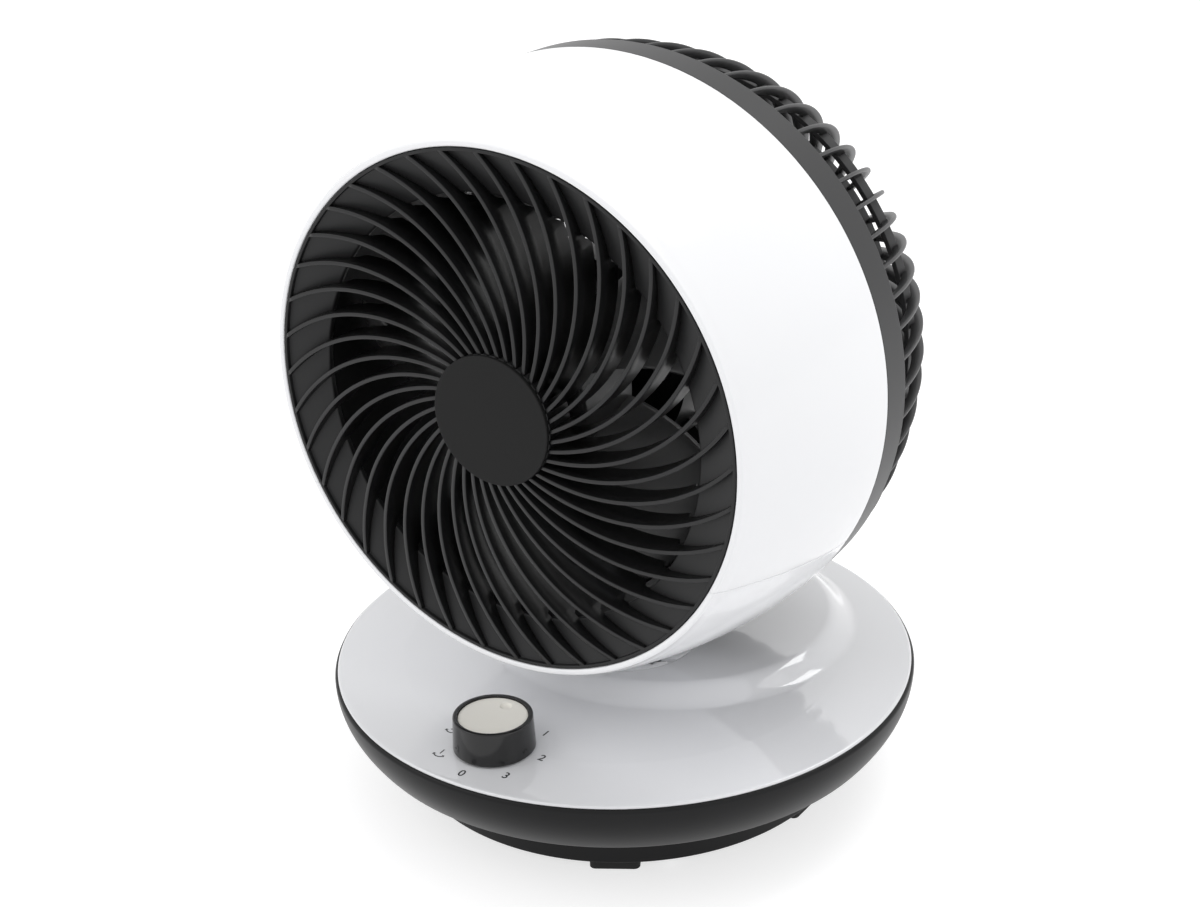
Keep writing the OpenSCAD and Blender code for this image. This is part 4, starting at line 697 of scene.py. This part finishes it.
# Copies of the rib turned about the head's axis, then the band, hoops and disc as turned outlines
def buildDome():
    d = dome
    radius, w, phi = domeRib()
    r = radius * np.cos(phi)[:, None]
    f = d["centre"] - radius * np.sin(phi)[:, None]
    a = np.radians(np.arange(d["ribs"]) * 360 / d["ribs"])[:, None, None]
    x = r[None] * np.cos(a) - w[None] * np.sin(a)
    y = r[None] * np.sin(a) + w[None] * np.cos(a)
    ribs = headPoint(x, y, np.broadcast_to(f[None], x.shape))
    band = rounded([[d["bandOuter"][0], d["bandFront"]], [d["bandOuter"][1], d["bandBack"]],
        [d["bandInner"][1], d["bandBack"]], [d["bandInner"][0], d["bandFront"]]],
        np.array([0.35, 0.5, 0.4, 0.3]))
    stacks = [(ribs, False, True), (spinHead(band, 256), True, True)]
    for middle in d["hoops"]:
        outer = math.sqrt(d["hoopSphere"] ** 2 - (middle - d["hoopCentre"]) ** 2) + d["hoopOut"]
        inner = outer - d["hoopThick"]
        back = middle - d["hoopHalf"]
        front = middle + d["hoopHalf"]
        hoop = rounded([[outer, back], [outer, front], [inner, front], [inner, back]],
            np.array([0.3, 0.3, 0.3, 0.3]))
        stacks.append((spinHead(hoop, 160), True, True))
    capF = d["centre"] - math.sqrt(d["radius"] ** 2 - d["cap"] ** 2)
    face = capF - d["capFace"]
    capInner = d["cap"] - d["capWall"]
    disc = rounded([[0, face], [d["cap"] - d["capBevel"], face], [d["cap"], capF + d["capFace"]],
        [d["cap"], capF + d["capDepth"]], [capInner, capF + d["capDepth"]], [capInner, capF + 2.4],
        [0, capF + 2.4]], np.array([0.02, 2.0, 0.8, 0.4, 0.4, 0.4, 0.02]))
    stacks.append((spinHead(disc, 160), True, True))
    addPiece("domeGrille", stacks, "head", finishes["bandGrey"], ["rear_grille"])


buildDome()
print("rear grille")

# The impeller: five swept blades on a hollow hub
fan = {"blades": 5, "phase": 30.0, "rootR": 26.3, "tipR": 82.4, "front": 60.4, "setBack": 2.0,
    "rootHeight": 28.6, "tipHeight": 27.0, "span": 36.0, "spanLoss": 0.1, "sweep": 14.0, "sweepPower": 1.4,
    "thick": 2.0, "camber": 2.4, "cornerFrom": 0.86, "cornerCut": 0.06, "edgeSharp": 9, "hubRadius": 27.5,
    "hubInner": 25.3, "hubBore": 3.2, "hubFront": 61.0, "hubFloor": 58.0, "hubBack": 29.0}


# u runs from root to tip and v from front to back edge: the angle grows with v and falls with a
# power of u, and the depth grows with v plus a camber that follows a half sine. The thickness ends
# in half an ellipse at three edges, and the corners at the tip are cut back
def buildFan():
    n = fan
    u = np.linspace(0, 1, 40)[:, None]
    v = np.linspace(0, 1, 44)[None, :]
    corner = np.clip((u - n["cornerFrom"]) / (1 - n["cornerFrom"]), 0, 1) ** 2 * n["cornerCut"]
    along = corner + (1 - 2 * corner) * v
    angle = np.radians(n["phase"] + n["span"] * along * (1 - n["spanLoss"] * u)
        - n["sweep"] * u ** n["sweepPower"])
    height = n["rootHeight"] + (n["tipHeight"] - n["rootHeight"]) * u
    f = n["front"] - n["setBack"] - height * along + n["camber"] * np.sin(np.pi * along)
    r = n["rootR"] + (n["tipR"] - n["rootR"]) * u + 0 * along
    edge = np.minimum(np.minimum(v, 1 - v), 1 - u) * n["edgeSharp"]
    near = np.clip(edge, 0, 1)
    half = n["thick"] / 2 * np.sqrt(near * (2 - near))
    top = np.stack([r, angle, f + n["thick"] / 2 + half], -1)
    low = np.stack([r, angle, f + n["thick"] / 2 - half], -1)
    loop = np.concatenate([top, low[:, ::-1][:, 1:-1]], 1)
    a0 = np.radians(np.arange(n["blades"]) * 360 / n["blades"])[:, None, None]
    angleAll = loop[None, :, :, 1] + a0
    rAll = np.broadcast_to(loop[None, :, :, 0], angleAll.shape)
    fAll = np.broadcast_to(loop[None, :, :, 2], angleAll.shape)
    blades = headPoint(rAll * np.cos(angleAll), rAll * np.sin(angleAll), fAll)
    hub = rounded([[n["hubBore"], n["hubFloor"]], [n["hubInner"] - 1.8, n["hubFloor"]],
        [n["hubInner"], n["hubFloor"] - 2], [n["hubInner"], n["hubBack"]], [n["hubRadius"], n["hubBack"]],
        [n["hubRadius"], n["hubFront"]], [n["hubBore"], n["hubFront"]]],
        np.array([0.1, 0.5, 0.5, 0.3, 0.4, 1.5, 0.2]))
    # The blades' lifted grey paints light into the duct's shade
    addPiece("fanWheel", [(blades, False, True), (spinHead(hub, 128), True, True)], "fan",
        finishes["fanGreyPaintedLight"], ["impeller"])


buildFan()
print("impeller")

# The floor, the world and four lamps, which all point at the fan. The background is plain white to
# the eye and in reflections, and the floor keeps its shadow
studio = {"floorColour": (0.83, 0.83, 0.84), "floorSeen": (0.5, 0.5, 0.505), "floorLift": 0.68,
    "floorRough": 0.6, "floorReach": 4, "sky": 0.86, "aim": (0, 0, 0.15),
    "lamps": {"keyLamp": ((-1.1, -1.0, 1.3), 1.2, 1.2, 4.8), "topLamp": ((0.2, 0.4, 1.9), 1.6, 1.6, 2.8),
        "sideLamp": ((1.6, -0.3, 0.9), 0.8, 1.4, 1.6),
        "windowLamp": ((0.28, 0.7, 1.25), 0.42, 0.7, 3.6)}}


# Adds up Light Path's camera, glossy and transmission rays, one number for what is seen
def seenRays(tree):
    path = tree.nodes.new("ShaderNodeLightPath")
    total = path.outputs["Is Camera Ray"]
    for ray in ("Is Glossy Ray", "Is Transmission Ray"):
        join = tree.nodes.new("ShaderNodeMath")
        join.operation = "MAXIMUM"
        tree.links.new(total, join.inputs[0])
        tree.links.new(path.outputs[ray], join.inputs[1])
        total = join.outputs[0]
    return total


def buildStudio():
    reach = studio["floorReach"]
    corners = [(-reach, -reach, 0), (reach, -reach, 0), (reach, reach, 0), (-reach, reach, 0)]
    floorMesh = bpy.data.meshes.new("floor")
    floorMesh.from_pydata(corners, [], [(0, 1, 2, 3)])
    floor = bpy.data.objects.new("floor", floorMesh)
    bpy.context.scene.collection.objects.link(floor)
    paint = bpy.data.materials.new("floorPaint")
    paint.use_nodes = True
    tree = paint.node_tree
    shader = tree.nodes["Principled BSDF"]
    shader.inputs["Roughness"].default_value = studio["floorRough"]
    shader.inputs["Emission Color"].default_value = (1, 1, 1, 1)
    lift = tree.nodes.new("ShaderNodeMath")
    lift.operation = "MULTIPLY"
    lift.inputs[1].default_value = studio["floorLift"]
    seen = seenRays(tree)
    tint = tree.nodes.new("ShaderNodeMix")
    tint.data_type = "RGBA"
    tint.inputs["A"].default_value = (*studio["floorColour"], 1)
    tint.inputs["B"].default_value = (*studio["floorSeen"], 1)
    tree.links.new(seen, tint.inputs["Factor"])
    tree.links.new(tint.outputs["Result"], shader.inputs["Base Color"])
    tree.links.new(seen, lift.inputs[0])
    tree.links.new(lift.outputs[0], shader.inputs["Emission Strength"])
    floor.data.materials.append(paint)
    world = bpy.data.worlds.new("studio")
    bpy.context.scene.world = world
    world.use_nodes = True
    sky = world.node_tree
    sky.nodes["Background"].inputs["Color"].default_value = (1, 1, 1, 1)
    level = sky.nodes.new("ShaderNodeMapRange")
    level.inputs["To Min"].default_value = studio["sky"]
    sky.links.new(seenRays(sky), level.inputs["Value"])
    sky.links.new(level.outputs["Result"], sky.nodes["Background"].inputs["Strength"])
    for name, (place, wide, tall, power) in studio["lamps"].items():
        lampData = bpy.data.lights.new(name, "AREA")
        lampData.shape = "RECTANGLE"
        lampData.size = wide
        lampData.size_y = tall
        lampData.energy = power
        lamp = bpy.data.objects.new(name, lampData)
        lamp.location = place
        aim = np.array(studio["aim"]) - np.array(place)
        dip = math.atan2(math.hypot(aim[0], aim[1]), -aim[2])
        lamp.rotation_euler = (dip, 0, math.atan2(-aim[0], aim[1]))
        bpy.context.scene.collection.objects.link(lamp)


buildStudio()

# The camera stands where the photograph was taken from. Its lens is for a 36 mm wide frame
view = {"place": (0.466354, -0.688096, 0.523632), "turn": (65.21422, 1.86881, 33.75157), "lens": 67.957}
camera = bpy.data.objects.new("camera", bpy.data.cameras.new("camera"))
camera.location = view["place"]
camera.rotation_euler = tuple(math.radians(a) for a in view["turn"])
camera.data.lens = view["lens"]
camera.data.sensor_width = 36
bpy.context.scene.collection.objects.link(camera)
bpy.context.scene.camera = camera
bpy.context.scene.view_settings.view_transform = "Standard"
print("studio")
